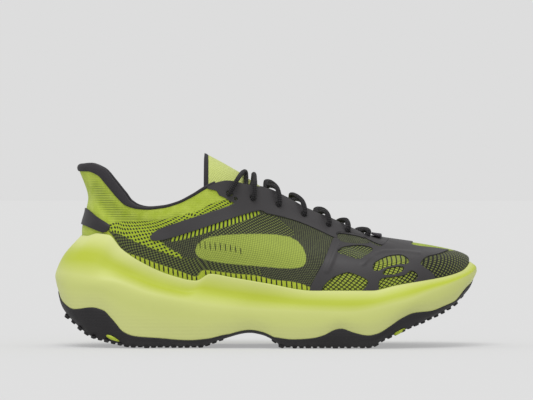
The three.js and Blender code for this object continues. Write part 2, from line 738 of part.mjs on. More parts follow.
const foldStation = TONGUE.bladeEnd - TONGUE_FOLD_GAP;
const bindingStation = TONGUE.end + TONGUE.bindingWidth;
const padTop = TONGUE_CLOTH + GAP;
const padLiningTop = padTop + TONGUE_PAD + GAP;
add('tongue_blade_cloth', tongueLayer(TONGUE.root, TONGUE.bladeEnd, 0, TONGUE_CLOTH, 9), COLOURS.lime, 0.9);
add(
  'tongue_blade_lining',
  tongueLayer(TONGUE.root, TONGUE.bladeEnd, TONGUE_CLOTH + GAP, TONGUE_LINING, 9),
  COLOURS.charcoal,
  0.95,
);
add('tongue_top_cloth', tongueLayer(foldStation, bindingStation + GAP, 0, TONGUE_CLOTH, 4), COLOURS.lime, 0.9);
add('tongue_top_foam', tongueLayer(foldStation, bindingStation + GAP, padTop, TONGUE_PAD, 4), COLOURS.board, 0.95);
add(
  'tongue_top_lining',
  tongueLayer(foldStation, bindingStation + GAP, padLiningTop, TONGUE_LINING, 4),
  COLOURS.charcoal,
  0.95,
);
add(
  'tongue_end_binding',
  tongueLayer(bindingStation, TONGUE.end, -GAP, padLiningTop + TONGUE_LINING + 2 * GAP, 2),
  COLOURS.charcoal,
  0.9,
);

// ---- Lace: one cord, out of each eyelet, over the tongue and under the opposite edge
const laceRadius = LACE / 2;
const overFilm = BOND + FILM + laceRadius + LACE_CLEARANCE;
const underUpper = -(KNIT + laceRadius + LACE_CLEARANCE);
const overTongue = laceRadius + LACE_CLEARANCE;
const strandStep = LACE + GAP;
const ARCH_SLACK = LACE_CLEARANCE;

const outside = (i, side) => byEdge(EYELETS[i][0], side, EYELETS[i][1], overFilm);
const inside = (i, side) => byEdge(EYELETS[i][0], side, EYELETS[i][1], underUpper);

// From inside eyelet i, under its edge, over the tongue and the other edge, to outside eyelet i + 1.
function crossing(i, side, height) {
  const [here] = EYELETS[i];
  const [next] = EYELETS[i + 1];
  const middle = CROSSING_STATIONS[i];
  return [
    inside(i, side),
    byEdge(THREE.MathUtils.lerp(here, middle, 0.85), side, 1.5, underUpper),
    onTongue(THREE.MathUtils.lerp(here, middle, 0.95), side * -0.5, -(overTongue + ARCH_SLACK)),
    onTongue(middle, 0, -(overTongue + height)),
    byEdge(THREE.MathUtils.lerp(middle, next, 0.3), -side, 1, overFilm + ARCH_SLACK),
    outside(i + 1, -side),
  ];
}

// The end of the lace: over the throat from the top eyelet and down behind the opposite edge.
function tuckedEnd(side, height) {
  return [
    byEdge(137, side, 1, overFilm + ARCH_SLACK),
    onTongue(139.5, 0, -(overTongue + height)),
    onTongue(139.5, side * 0.6, -(overTongue + 2 * ARCH_SLACK)),
    byEdge(141, -side, 9, underUpper),
    byEdge(142, -side, 17, underUpper - ARCH_SLACK),
  ];
}

function laceRoute() {
  const route = [...tuckedEnd(SIDE.lateral, strandStep).reverse(), outside(0, SIDE.lateral)];
  let side = SIDE.lateral;
  const last = EYELETS.length - 1;
  for (let i = 0; i < last; i += 1) {
    route.push(...crossing(i, side, 0));
    side = -side;
  }
  route.push(inside(last, side));
  const [base] = EYELETS[last];
  [side * -0.75, side * -0.3, side * 0.3, side * 0.75].forEach((share) => {
    route.push(onTongue(base, share, -overTongue));
  });
  side = -side;
  route.push(inside(last, side), outside(last, side));
  for (let i = last; i > 0; i -= 1) {
    route.push(...crossing(i - 1, -side, strandStep).reverse().slice(1));
    side = -side;
    route.push(outside(i - 1, side));
  }
  route.push(...tuckedEnd(SIDE.medial, 0));
  return route;
}

// A curve whose equal steps fall on its own points, so that a swept cord turns exactly there.
class PointedCurve extends THREE.CatmullRomCurve3 {
  getPointAt(u, target) {
    return this.getPoint(u, target);
  }

  getTangentAt(u, target) {
    return this.getTangent(u, target);
  }

  getSpacedPoints(divisions) {
    return this.getPoints(divisions);
  }
}

const round = (radius, sides) => new THREE.Shape(spread(0, sides - 1, sides - 1).map((corner) => (
  new THREE.Vector2(radius, 0).rotateAround(new THREE.Vector2(), 2 * Math.PI * corner / sides)
)));

const route = laceRoute();
const cord = new PointedCurve(route, false, 'centripetal');
add('lace', closed(new THREE.ExtrudeGeometry(round(laceRadius, 8), {
  extrudePath: cord,
  steps: route.length - 1,
})), COLOURS.rubber, 0.85);

// The moulded tip beyond an end of the cord.
function aglet(end, along) {
  const rod = new THREE.CylinderGeometry(laceRadius - AGLET_WALL, laceRadius - AGLET_WALL, AGLET_LENGTH, 10);
  rod.applyQuaternion(new THREE.Quaternion().setFromUnitVectors(new THREE.Vector3(0, 1, 0), along));
  rod.translate(...end.clone().addScaledVector(along, BOND + AGLET_LENGTH / 2).toArray());
  return closed(rod);
}

add('aglet_first', aglet(cord.getPoint(0), cord.getTangent(0).negate()), COLOURS.rubber, 0.3);
add('aglet_second', aglet(cord.getPoint(1), cord.getTangent(1)), COLOURS.rubber, 0.3);

// ---- Throat tab: a short webbing across the base of the throat
const TAB = { from: 232, to: 239, reach: 12, thickness: 1.1 };

function throatTab() {
  const low = BOND + FILM + GAP;
  const high = low + TAB.thickness;
  const strip = (side) => spread(TAB.reach, 0, 3).map((setback) => [
    byEdge(TAB.from, side, setback, low),
    byEdge(TAB.to, side, setback, low),
    byEdge(TAB.to, side, setback, high),
    byEdge(TAB.from, side, setback, high),
  ]);
  return rowOfSections([...strip(SIDE.lateral), ...strip(SIDE.medial).reverse()]);
}

add('throat_tab', throatTab(), COLOURS.charcoal, 0.8);

export default shoe;
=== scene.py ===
import math
import bpy
import numpy as np
from mathutils import Matrix, Vector


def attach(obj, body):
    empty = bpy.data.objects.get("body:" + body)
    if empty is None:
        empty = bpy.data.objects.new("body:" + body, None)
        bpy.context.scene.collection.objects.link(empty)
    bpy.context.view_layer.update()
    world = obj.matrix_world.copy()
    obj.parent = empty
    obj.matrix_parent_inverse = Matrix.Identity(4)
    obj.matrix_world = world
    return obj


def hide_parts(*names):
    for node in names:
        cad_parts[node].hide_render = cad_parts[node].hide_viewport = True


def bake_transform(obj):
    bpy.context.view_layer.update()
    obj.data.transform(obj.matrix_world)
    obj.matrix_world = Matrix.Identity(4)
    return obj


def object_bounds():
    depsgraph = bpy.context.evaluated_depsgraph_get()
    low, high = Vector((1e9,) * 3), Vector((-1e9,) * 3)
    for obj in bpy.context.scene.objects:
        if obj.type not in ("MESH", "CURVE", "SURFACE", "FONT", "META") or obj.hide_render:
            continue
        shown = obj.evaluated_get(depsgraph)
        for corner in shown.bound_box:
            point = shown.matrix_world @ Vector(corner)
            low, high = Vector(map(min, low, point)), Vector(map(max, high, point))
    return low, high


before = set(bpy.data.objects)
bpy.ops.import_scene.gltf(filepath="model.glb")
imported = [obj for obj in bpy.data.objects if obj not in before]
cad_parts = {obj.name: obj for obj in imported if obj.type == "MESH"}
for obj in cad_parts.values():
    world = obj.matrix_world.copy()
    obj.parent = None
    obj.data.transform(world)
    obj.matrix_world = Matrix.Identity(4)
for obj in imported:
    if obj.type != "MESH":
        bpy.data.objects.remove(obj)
cad_low, cad_high = [list(corner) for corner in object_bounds()]


# ======== Camera, floor and light ========
# A long lens a little above the floor looks at the outer side of the shoe, which stands on a pale
# faintly lit floor panel under one broad soft light from above and the even light of a white room.
VIEW_WIDTH = 0.3925
VIEW_HEIGHT_AT = 0.1075
LENS, SENSOR = 300, 36
CAMERA_TILT = math.radians(0.5)
ROOM_LIGHT = 0.723
SOFTBOX_STRENGTH = 1.5
FLOOR_GLOW = 0.36

scene = bpy.context.scene
scene.view_settings.view_transform = "Standard"
target = Vector((0, 0, VIEW_HEIGHT_AT))
distance = LENS * VIEW_WIDTH / SENSOR
camera_lens = bpy.data.cameras.new("camera")
camera_lens.lens = LENS
camera_lens.sensor_width = SENSOR
camera_lens.clip_end = 50
camera = bpy.data.objects.new("camera", camera_lens)
camera.location = target + Vector((0, -math.cos(CAMERA_TILT), math.sin(CAMERA_TILT))) * distance
camera.rotation_euler = (math.pi / 2 - CAMERA_TILT, 0, 0)
scene.collection.objects.link(camera)
scene.camera = camera

room = bpy.data.worlds.new("room")
room.use_nodes = True
room.node_tree.nodes["Background"].inputs["Color"].default_value = (1, 1, 1, 1)
room.node_tree.nodes["Background"].inputs["Strength"].default_value = ROOM_LIGHT
scene.world = room

softbox_light = bpy.data.lights.new("softbox", "SUN")
softbox_light.energy = SOFTBOX_STRENGTH
softbox_light.angle = math.radians(34)
softbox = bpy.data.objects.new("softbox", softbox_light)
softbox.rotation_euler = Vector((0.15, 0.55, -1.0)).to_track_quat("-Z", "Y").to_euler()
scene.collection.objects.link(softbox)


class Level:
    """A number that changes over a surface, to be written in sums like any other number."""

    def __init__(self, finish, socket):
        self.finish = finish
        self.socket = socket

    def step(self, operation, *values, clamp=False):
        node = self.finish.node("ShaderNodeMath", {"operation": operation, "use_clamp": clamp},
            dict(enumerate(values)))
        return Level(self.finish, node.outputs[0])

    def __add__(self, other):
        return self.step("ADD", self, other)

    def __sub__(self, other):
        return self.step("SUBTRACT", self, other)

    def __rsub__(self, other):
        return self.step("SUBTRACT", other, self)

    def __mul__(self, other):
        return self.step("MULTIPLY", self, other)

    __radd__ = __add__
    __rmul__ = __mul__

    def sine(self, pitch):
        return self.step("SINE", self * (2 * math.pi / pitch))

    def size(self):
        return self.step("ABSOLUTE", self)

    def over(self, limit, softness):
        """0 below the limit and 1 above it, with a soft step between."""
        return self.step("ADD", (self - limit) * (1 / softness), 0.5, clamp=True)


class Finish:
    """A material: one Principled shader and the nodes that feed it."""

    def __init__(self, name, **sockets):
        self.material = bpy.data.materials.new(name)
        self.material.use_nodes = True
        self.tree = self.material.node_tree
        self.shader = self.tree.nodes["Principled BSDF"]
        self.fill(self.shader, {key.replace("_", " "): value for key, value in sockets.items()})

    def fill(self, node, sockets):
        for key, value in sockets.items():
            value = value.socket if isinstance(value, Level) else value
            if isinstance(value, bpy.types.NodeSocket):
                self.tree.links.new(value, node.inputs[key])
            else:
                node.inputs[key].default_value = value

    def node(self, kind, settings=None, sockets=None):
        node = self.tree.nodes.new(kind)
        for key, value in (settings or {}).items():
            setattr(node, key, value)
        self.fill(node, sockets or {})
        return node

    def place(self):
        """Object coordinates as three levels, in metres."""
        node = self.node("ShaderNodeTexCoord")
        parts = self.node("ShaderNodeSeparateXYZ", sockets={0: node.outputs["Object"]})
        return [Level(self, output) for output in parts.outputs]

    def stored(self, name):
        """A number stored on the mesh."""
        return Level(self, self.node("ShaderNodeAttribute", {"attribute_name": name}).outputs["Fac"])

    def noise(self, grain, detail=2.0):
        """Noise from 0 to 1 with lumps of about `grain` metres."""
        where = self.node("ShaderNodeTexCoord").outputs["Object"]
        node = self.node("ShaderNodeTexNoise", sockets={"Vector": where, "Scale": 1 / grain,
            "Detail": detail})
        return Level(self, node.outputs[0])

    def mix(self, share, first, second):
        node = self.node("ShaderNodeMix", {"data_type": "RGBA"}, {0: share, 6: first, 7: second})
        return node.outputs[2]

    def relief(self, height, depth, strength=1.0):
        """Bumps on the surface: `height` is 0 to 1, `depth` in metres."""
        node = self.node("ShaderNodeBump", sockets={"Strength": strength, "Distance": depth,
            "Height": height})
        self.fill(self.shader, {"Normal": node.outputs[0]})


def paint(red, green, blue):
    """A colour as it is seen on a screen, from 0 to 255, for a shader."""
    return tuple((((part / 255) + 0.055) / 1.055) ** 2.4 for part in (red, green, blue)) + (1,)


floor_finish = Finish("lit_floor_panel", Roughness=0.95, Specular_IOR_Level=0.0, Emission_Color=(1, 1, 1, 1),
                      Emission_Strength=FLOOR_GLOW)
floor_tone = floor_finish.noise(0.4) * 0.02
floor_finish.fill(floor_finish.shader,
    {"Base Color": floor_finish.mix(floor_tone, (0.335, 0.335, 0.335, 1), (0.3, 0.3, 0.3, 1))})
floor_mesh = bpy.data.meshes.new("floor")
FLOOR_REACH = 12
floor_mesh.from_pydata([(x * FLOOR_REACH, y * FLOOR_REACH, 0) for x,
    y in ((-1, -1), (1, -1), (1, 1), (-1, 1))], [], [(0, 1, 2, 3)])
floor_mesh.materials.append(floor_finish.material)
floor = bpy.data.objects.new("floor", floor_mesh)
scene.collection.objects.link(floor)


# ======== The last ========
# Every piece is shaped on the same lines drawn round the shoe: from the lug tips up to the collar.
# They are drawn in millimetres from the back of the heel and from the floor, and scaled to the CAD box.
PATTERN_LENGTH, PATTERN_WIDTH, PATTERN_HEIGHT = 310, 117, 142
MM = 0.001
TURN = 2 * math.pi


def along_x(station):
    return cad_low[0] + np.asarray(station) / PATTERN_LENGTH * (cad_high[0] - cad_low[0])


def station_of(x):
    return (np.asarray(x) - cad_low[0]) / (cad_high[0] - cad_low[0]) * PATTERN_LENGTH


def across_y(y):
    return np.asarray(y) * (cad_high[1] - cad_low[1]) / PATTERN_WIDTH


def up_z(z):
    return np.asarray(z) * cad_high[2] / PATTERN_HEIGHT


def curve_through(points):
    """A smooth curve through (position, value) points that does not overshoot between them."""
    position, value = np.array(points, float).T
    width = np.diff(position)
    slope = np.diff(value) / width
    heavy = 2 * width[1:] + width[:-1]
    light = width[1:] + 2 * width[:-1]
    same_way = slope[:-1] * slope[1:] > 0
    before, after = np.where(same_way, slope[:-1], 1), np.where(same_way, slope[1:], 1)
    inner = np.where(same_way, (heavy + light) / (heavy / before + light / after), 0)
    tangent = np.concatenate([slope[:1], inner, slope[-1:]])

    def at(where):
        where = np.clip(where, position[0], position[-1])
        i = np.clip(np.searchsorted(position, where, side="right") - 1, 0, len(width) - 1)
        t = (where - position[i]) / width[i]
        rest = 1 - t
        return (value[i] * (1 + 2 * t) * rest * rest + tangent[i] * width[i] * t * rest * rest
                + value[i + 1] * t * t * (3 - 2 * t) - tangent[i + 1] * width[i] * t * t * rest)
    return at


def curve_round(points):
    return curve_through([(angle + turn, value) for turn in (-TURN, 0, TURN) for angle, value in points])


def loop(heel, toe, lateral, medial, rise, toe_y=0):
    """A closed line round the shoe: angle 0 at the heel, pi at the toe, the lateral side first."""
    def angle_of(station):
        return math.acos(min(max(1 - 2 * (station - heel) / (toe - heel), -1), 1))
    sides = curve_round([(0, 0)] + [(angle_of(s), -y) for s, y in lateral] + [(math.pi, toe_y)]
                        + [(TURN - angle_of(s), y) for s, y in reversed(medial)])
    inner = [(s, z) for s, z in rise if heel < s < toe]
    heights = curve_round([(0, rise[0][1])] + [(angle_of(s), z) for s, z in inner] + [(math.pi, rise[-1][1])]
                          + [(TURN - angle_of(s), z) for s, z in reversed(inner)])

    def at(angle):
        angle = np.asarray(angle, float)
        wrapped = np.mod(angle, TURN)
        x = along_x(heel + (toe - heel) * (1 - np.cos(angle)) / 2)
        return np.stack([x, across_y(sides(wrapped)), up_z(heights(wrapped))], -1)
    return at


feather_line = loop(
    heel=28, toe=296, toe_y=6,
    lateral=[(45, 27), (62, 31), (100, 31.5), (130, 33), (170, 39), (215, 45), (250, 42), (280, 27)],
    medial=[(45, 27), (62, 31), (100, 29), (130, 27.5), (170, 34), (215, 44), (250, 43.5), (280, 33)],
    rise=[(28, 42.6), (60, 39.1), (120, 37.1), (170, 31.1), (215, 27.6), (250, 31.6), (280, 40.6),
    (296, 48.6)])
bite_line = loop(
    heel=19.3, toe=304.3, toe_y=6,
    lateral=[(30, 25.5), (45, 34.5), (62, 37.5), (100, 38.5), (130, 40.5), (170, 46.5), (215, 52), (250, 48),
    (280, 35.5)],
    medial=[(30, 25.5), (45, 34.5), (62, 37), (100, 35.5), (130, 35), (170, 41), (215, 51), (250, 50),
    (280, 41)],
    rise=[(19.3, 81), (24.6, 81), (32, 83), (40.6, 82), (49.7, 72), (67.7, 60.4), (85.4, 53), (103.8, 49),
          (114, 54), (129.6, 51.5), (156, 47), (187.8, 42), (231, 42), (249, 45.7), (266.5, 48.6),
          (284, 51.5),
          (297.5, 55.5), (304.3, 62)])
waist_line = loop(
    heel=22.3, toe=299.5, toe_y=6,
    lateral=[(34, 26.5), (48, 34.5), (65, 38), (100, 42), (130, 44), (165, 46), (210, 48.5), (245, 44),
    (275, 31.5)],
    medial=[(34, 26.5), (48, 34.5), (65, 37.5), (100, 39), (130, 39), (165, 41), (210, 47), (245, 45.5),
    (275, 36)],
    rise=[(22.3, 100), (30, 98), (50, 86), (70, 78), (95, 73), (120, 74), (150, 70), (185, 64), (213, 61),
          (240, 61.5), (265, 63.5), (285, 66.5), (299.5, 68.5)])
instep_line = loop(
    heel=23.4, toe=276, toe_y=5,
    lateral=[(35, 24), (50, 32.5), (68, 36.5), (95, 40.5), (120, 39.5), (150, 36), (185, 34), (215, 33),
    (245, 26), (262, 18)],
    medial=[(35, 24), (50, 32), (68, 36), (95, 39.5), (120, 38.5), (150, 34), (185, 32.5), (215, 33),
    (245, 28), (262, 21)],
    rise=[(23.4, 112), (31, 109), (45, 99), (60, 91.5), (80, 88), (100, 93), (120, 97), (145, 92), (170, 86),
          (197, 80), (225, 72), (250, 71.5), (276, 74.2)])
top_line = loop(
    heel=17, toe=242, toe_y=0.5,
    lateral=[(24, 14), (33, 23), (45, 29.5), (67, 35.5), (100, 37), (125, 35.5), (145, 30.5), (170, 20.5),
    (200, 16), (225, 12)],
    medial=[(24, 14), (33, 23), (45, 29.5), (67, 35), (100, 36), (125, 34.5), (145, 29.5), (170, 20),
    (200, 15.5), (225, 12)],
    rise=[(17, 129.6), (24, 129.6), (31.7, 126.6), (39, 118.7), (46.7, 109.7), (52.7, 104.4), (60.2, 102.2),
          (67.7, 101.6), (78.2, 102.5), (89.5, 105.5), (100.8, 111), (111.3, 117.3), (119.3, 120.8),
          (126, 122),
          (142.5, 118.5), (151.7, 117), (168.6, 109.7), (183.3, 101.6), (202.5, 93.5), (215, 87.6),
          (229.7, 81),
          (242, 79.3)])
UPPER_LINES = [feather_line, bite_line, waist_line, instep_line, top_line]
SPANS = len(UPPER_LINES) - 1
BITE = 1 / SPANS


def rows_through(keys, t):
    """Points at t (in spans) on the smooth curves that run through the key points, one curve a column."""
    last = len(keys) - 1
    column = np.arange(keys.shape[1])
    span = np.clip(np.floor(t).astype(int), 0, last - 1)
    t = (t - span)[..., None]
    a, b, c, d = [keys[np.clip(span + i, 0, last), column] for i in (-1, 0, 1, 2)]
    return 0.5 * (2 * b + (c - a) * t + (2 * a - 5 * b + 4 * c - d) * t * t + (3 * b - a - 3 * c + d) * t ** 3)


def on_upper(angle, height):
    """A point on the outside of the knit: height 0 at the feather edge, 1 at the collar and throat."""
    angle, height = np.broadcast_arrays(np.asarray(angle, float), np.asarray(height, float))
    keys = np.stack([line(angle.ravel()) for line in UPPER_LINES])
    return rows_through(keys, height.ravel() * SPANS).reshape(*angle.shape, 3)


def off_upper(angle, height, lift):
    """The point a distance outside (+) or inside (-) the knit's face, in metres."""
    step = 0.004
    low = np.clip(height, step, 1 - step)
    round_ = on_upper(angle + step, low) - on_upper(angle - step, low)
    up = on_upper(angle, low + step) - on_upper(angle, low - step)
    out = np.cross(round_, up)
    out /= np.linalg.norm(out, axis=-1, keepdims=True)
    return on_upper(angle, height) + out * np.asarray(lift)[..., None]


def solid(name, points, faces, finish, stored=None, smooth=True):
    """A mesh piece from its points and faces, with numbers stored on its points."""
    mesh = bpy.data.meshes.new(name)
    mesh.from_pydata(np.asarray(points).reshape(-1, 3).tolist(), [], faces)
    for key, values in (stored or {}).items():
        mesh.attributes.new(key, "FLOAT", "POINT").data.foreach_set("value",
            np.asarray(values, np.float32).ravel())
    mesh.polygons.foreach_set("use_smooth", [smooth] * len(mesh.polygons))
    mesh.materials.append(finish.material)
    piece = bpy.data.objects.new(name, mesh)
    scene.collection.objects.link(piece)
    return piece


def sheet_faces(rows, columns, ring=False):
    """Faces of a grid of points stored row by row; a ring joins its last column to its first."""
    across = columns if ring else columns - 1
    return [(i * columns + j, i * columns + (j + 1) % columns, (i + 1) * columns + (j + 1) % columns,
        (i + 1) * columns + j)
            for i in range(rows - 1) for j in range(across)]


def tidied(piece, merge=1e-5):
    """Joins points that coincide, drops empty faces and turns every face outwards."""
    import bmesh
    made = bmesh.new()
    made.from_mesh(piece.data)
    bmesh.ops.remove_doubles(made, verts=made.verts, dist=merge)
    bmesh.ops.dissolve_degenerate(made, edges=made.edges, dist=merge / 10)
    bmesh.ops.recalc_face_normals(made, faces=made.faces)
    made.to_mesh(piece.data)
    made.free()
    return piece


# ======== Outsole ========
# A tray of black carbon rubber, moulded with its lugs and cemented under the foam. Its wall turns up
# round the foam in waves and stands highest at the heel and the toe.
LUG_DEPTH, RUBBER, RUBBER_RIM = 1.5 * MM, 1.6 * MM, 2.2 * MM
GAP, BOND = 0.3 * MM, 0.8 * MM
RING = 360
ring_angles = np.arange(RING) * TURN / RING
lug_tips = curve_through([
    (0, 27), (14, 17), (19, 12.5), (28, 6.6), (37, 4.4), (46, 2.2), (58, 0), (106, 0), (121, 4.4), (143, 9.6),
    (152, 8.1), (160, 4.4), (167, 0), (230, 0), (240, 5.2), (258, 13.3), (275, 20.6), (284, 25), (293, 30.2),
    (302, 39.8), (310, 46)])
tread_line = loop(
    heel=9, toe=300, toe_y=6,
    lateral=[(22, 28), (45, 38.5), (70, 41.5), (110, 38), (140, 38), (175, 45), (215, 51), (250, 47),
    (280, 31)],
    medial=[(22, 28), (45, 38.5), (70, 40.5), (105, 36), (135, 33), (165, 37.5), (215, 50), (250, 49),
    (280, 36)],
    rise=[(9, 0), (300, 0)])
rim_line = loop(
    heel=1.5, toe=308.5, toe_y=6,
    lateral=[(15, 34), (40, 45.5), (70, 48), (110, 45), (140, 45), (175, 51.5), (215, 57), (250, 54),
    (280, 42)],
    medial=[(15, 34), (40, 45), (70, 47), (105, 42.5), (135, 40), (165, 44), (215, 56), (250, 56),
    (280, 46.5)],
    rise=[(1.5, 40.5), (5.9, 32.4), (14.7, 28), (28, 29.5), (36.8, 27.2), (41.2, 22.8), (45.7, 17.7),
    (50, 12.5),
          (59, 8.8), (76.6, 7.4), (98.7, 5.8), (112, 6.8), (125, 9.8), (136, 11), (147, 10.3), (160.5, 8.1),
          (174, 6.6), (187, 7.4), (196, 9.6), (205, 14), (209, 14.7), (218, 11.8), (229, 9.6), (235.6, 11),
          (244.5, 16.2), (253, 22), (262, 25.8), (275.4, 27.2), (284, 30.2), (293, 33.9), (302, 40.5),
          (308.5, 53.7)])


def tread_z(x):
    return up_z(lug_tips(station_of(x))) + LUG_DEPTH


def grown(ring, distance, height=None):
    """A ring moved outwards in plan (+) or inwards (-)."""
    chord = np.roll(ring, -1, 0) - np.roll(ring, 1, 0)
    out = np.stack([chord[:, 1], -chord[:, 0], np.zeros(len(ring))], -1)
    moved = ring + out / np.linalg.norm(out, axis=1, keepdims=True) * np.reshape(distance, (-1, 1))
    if height is not None:
        moved[:, 2] = height(moved[:, 0])
    return moved


def drawn_in(ring, share, height):
    """A ring drawn in towards the line down its middle; at 0 its two sides meet."""
    other = ring[-np.arange(len(ring))]
    middle = (ring + other) / 2
    moved = middle + (ring - other) / 2 * share
    moved[:, 2] = height(moved[:, 0])
    return moved


def between(first, second, share, outward):
    return grown(first + (second - first) * share, outward)


def stack(name, rings, finish, stored=None):
    points = np.concatenate(rings)
    piece = solid(name, points, sheet_faces(len(rings), RING, ring=True), finish, stored)
    return tidied(piece)


rim_ring = rim_line(ring_angles)
rim_ring[:, 2] = np.maximum(rim_ring[:, 2], tread_z(rim_ring[:, 0]) + RUBBER + 2 * GAP)
tread_ring = grown(tread_line(ring_angles), 0, tread_z)
floor_ring = grown(tread_ring, -RUBBER, lambda x: tread_z(x) + RUBBER)
inner_rim_ring = grown(rim_ring, -RUBBER_RIM)
wall_ring = between(tread_ring, rim_ring, 0.5, 1.5 * MM)
wall_rows = rows_through(np.stack([tread_ring, wall_ring, rim_ring]),
    np.linspace(0, 2, 17)[:, None] * np.ones(RING))

rubber = Finish("outsole_rubber", Specular_IOR_Level=0.35)
rubber_grain = rubber.noise(0.0006, 3)
rubber_wear = rubber.noise(0.012, 4)
x, y, z = rubber.place()
underside = 1 - z.over(0.006, 0.004)
rubber_tone = rubber.mix(rubber_wear, paint(31, 30, 32), paint(44, 42, 44))
rubber.fill(rubber.shader, {
    "Base Color": rubber.mix(underside * rubber_wear * 0.5, rubber_tone, paint(58, 56, 55)),
    "Roughness": rubber_grain * 0.2 + 0.55})
rubber.relief(rubber_grain + (z.sine(0.0022) * 0.25), 0.0003, 0.5)

outsole = stack("outsole_tray", [
    drawn_in(tread_ring, 0, tread_z), drawn_in(tread_ring, 0.6, tread_z), tread_ring, *wall_rows[1:-1],
    grown(rim_ring, -0.25 * MM), grown(rim_ring, -0.9 * MM, None) + [0, 0, 0.35 * MM], inner_rim_ring,
    between(floor_ring, inner_rim_ring, 0.5, 1.2 * MM), floor_ring,
    drawn_in(floor_ring, 0, lambda x: tread_z(x) + RUBBER)], rubber)
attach(outsole, "shoe")
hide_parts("outsole")


def laid_out(name, places, frames, sizes, finish, shape, sockets):
    """Copies of one small body, made and placed by Geometry Nodes, as one plain mesh."""
    seats = bpy.data.meshes.new(name + "_seats")
    seats.from_pydata([tuple(place) for place in places], [], [])
    turns = [Matrix(np.asarray(axes).T.tolist()).to_euler() for axes in frames]
    seats.attributes.new("turn", "FLOAT_VECTOR", "POINT").data.foreach_set("vector",
        np.array(turns, np.float32).ravel())
    seats.attributes.new("stretch", "FLOAT_VECTOR", "POINT").data.foreach_set("vector",
        np.array(sizes, np.float32).ravel())
    holder = bpy.data.objects.new(name + "_seats", seats)
    scene.collection.objects.link(holder)
    tree = bpy.data.node_groups.new(name, "GeometryNodeTree")
    tree.interface.new_socket("Geometry", in_out="INPUT", socket_type="NodeSocketGeometry")
    tree.interface.new_socket("Geometry", in_out="OUTPUT", socket_type="NodeSocketGeometry")
    inputs = {key: tree.interface.new_socket(key, in_out="INPUT",
        socket_type="NodeSocketFloat") for key in sockets}
    add, link = tree.nodes.new, tree.links.new
    given, result = add("NodeGroupInput"), add("NodeGroupOutput")
    body = shape(tree, given)
    copies, turn, stretch = add("GeometryNodeInstanceOnPoints"), add("GeometryNodeInputNamedAttribute"), add("GeometryNodeInputNamedAttribute")
    for attribute, key in ((turn, "turn"), (stretch, "stretch")):
        attribute.data_type = "FLOAT_VECTOR"
        attribute.inputs["Name"].default_value = key
    as_rotation, real, painted = add("FunctionNodeEulerToRotation"), add("GeometryNodeRealizeInstances"), add("GeometryNodeSetMaterial")
    painted.inputs["Material"].default_value = finish.material
    link(turn.outputs[0], as_rotation.inputs[0])
    link(given.outputs["Geometry"], copies.inputs["Points"])
    link(body, copies.inputs["Instance"])
    link(as_rotation.outputs[0], copies.inputs["Rotation"])
    link(stretch.outputs[0], copies.inputs["Scale"])
    link(copies.outputs[0], real.inputs[0])
    link(real.outputs[0], painted.inputs["Geometry"])
    link(painted.outputs[0], result.inputs[0])
    modifier = holder.modifiers.new(name, "NODES")
    modifier.node_group = tree
    for key, value in sockets.items():
        modifier[inputs[key].identifier] = value
    mesh = bpy.data.meshes.new_from_object(holder.evaluated_get(bpy.context.evaluated_depsgraph_get()))
    mesh.name = name
    bpy.data.objects.remove(holder)
    if not mesh.materials:
        mesh.materials.append(finish.material)
    piece = bpy.data.objects.new(name, mesh)
    scene.collection.objects.link(piece)
    return piece


def lug_shape(tree, given):
    """A six-sided stud, narrower at its tip, lying along its own Z."""
    cone = tree.nodes.new("GeometryNodeMeshCone")
    cone.inputs["Vertices"].default_value = 6
    for socket, name in (("Radius Top", "Tip Radius"), ("Radius Bottom", "Root Radius"),
        ("Depth", "Lug Depth")):
        tree.links.new(given.outputs[name], cone.inputs[socket])
    return cone.outputs["Mesh"]


LUG_PITCH, LUGS_ACROSS = 4.9, 12
LUG_BURIED = 0.8 * MM
lug_places, lug_frames, lug_sizes = [], [], []
spread_of_lugs = np.random.default_rng(7)
for row, station in enumerate(np.arange(9, 302, LUG_PITCH)):
    if 122 < station < 160:
        continue
    x = float(along_x(station))
    near = np.abs(tread_ring[:, 0] - x) < 4 * MM
    left, right = tread_ring[near, 1].min(), tread_ring[near, 1].max()
    slope = float(tread_z(x + 3 * MM) - tread_z(x - 3 * MM)) / (6 * MM)
    down = Vector((slope, 0, -1)).normalized()
    side = Vector((0, 1, 0))
    for share in np.linspace(0, 1, LUGS_ACROSS):
        offset = (row % 2) * 0.5 / (LUGS_ACROSS - 1) * (1 if share < 0.95 else 0)
        place = left + (right - left) * (0.02 + 0.96 * (share + offset))
        root = Vector((x, place, float(tread_z(x)))) - down * LUG_BURIED
        lug_places.append(root)
        lug_frames.append([side.cross(down), side, down])
        lug_sizes.append([0.85 + 0.25 * spread_of_lugs.random(), 1.1, 0.75 + 0.25 * spread_of_lugs.random()])
lugs = laid_out("outsole_lugs", lug_places, lug_frames, lug_sizes, rubber, lug_shape,
                {"Tip Radius": 1.6 * MM, "Root Radius": 2.4 * MM, "Lug Depth": LUG_DEPTH + LUG_BURIED})
for point in lugs.data.vertices:
    point.co.z = max(point.co.z, 0.0)
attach(lugs, "shoe")


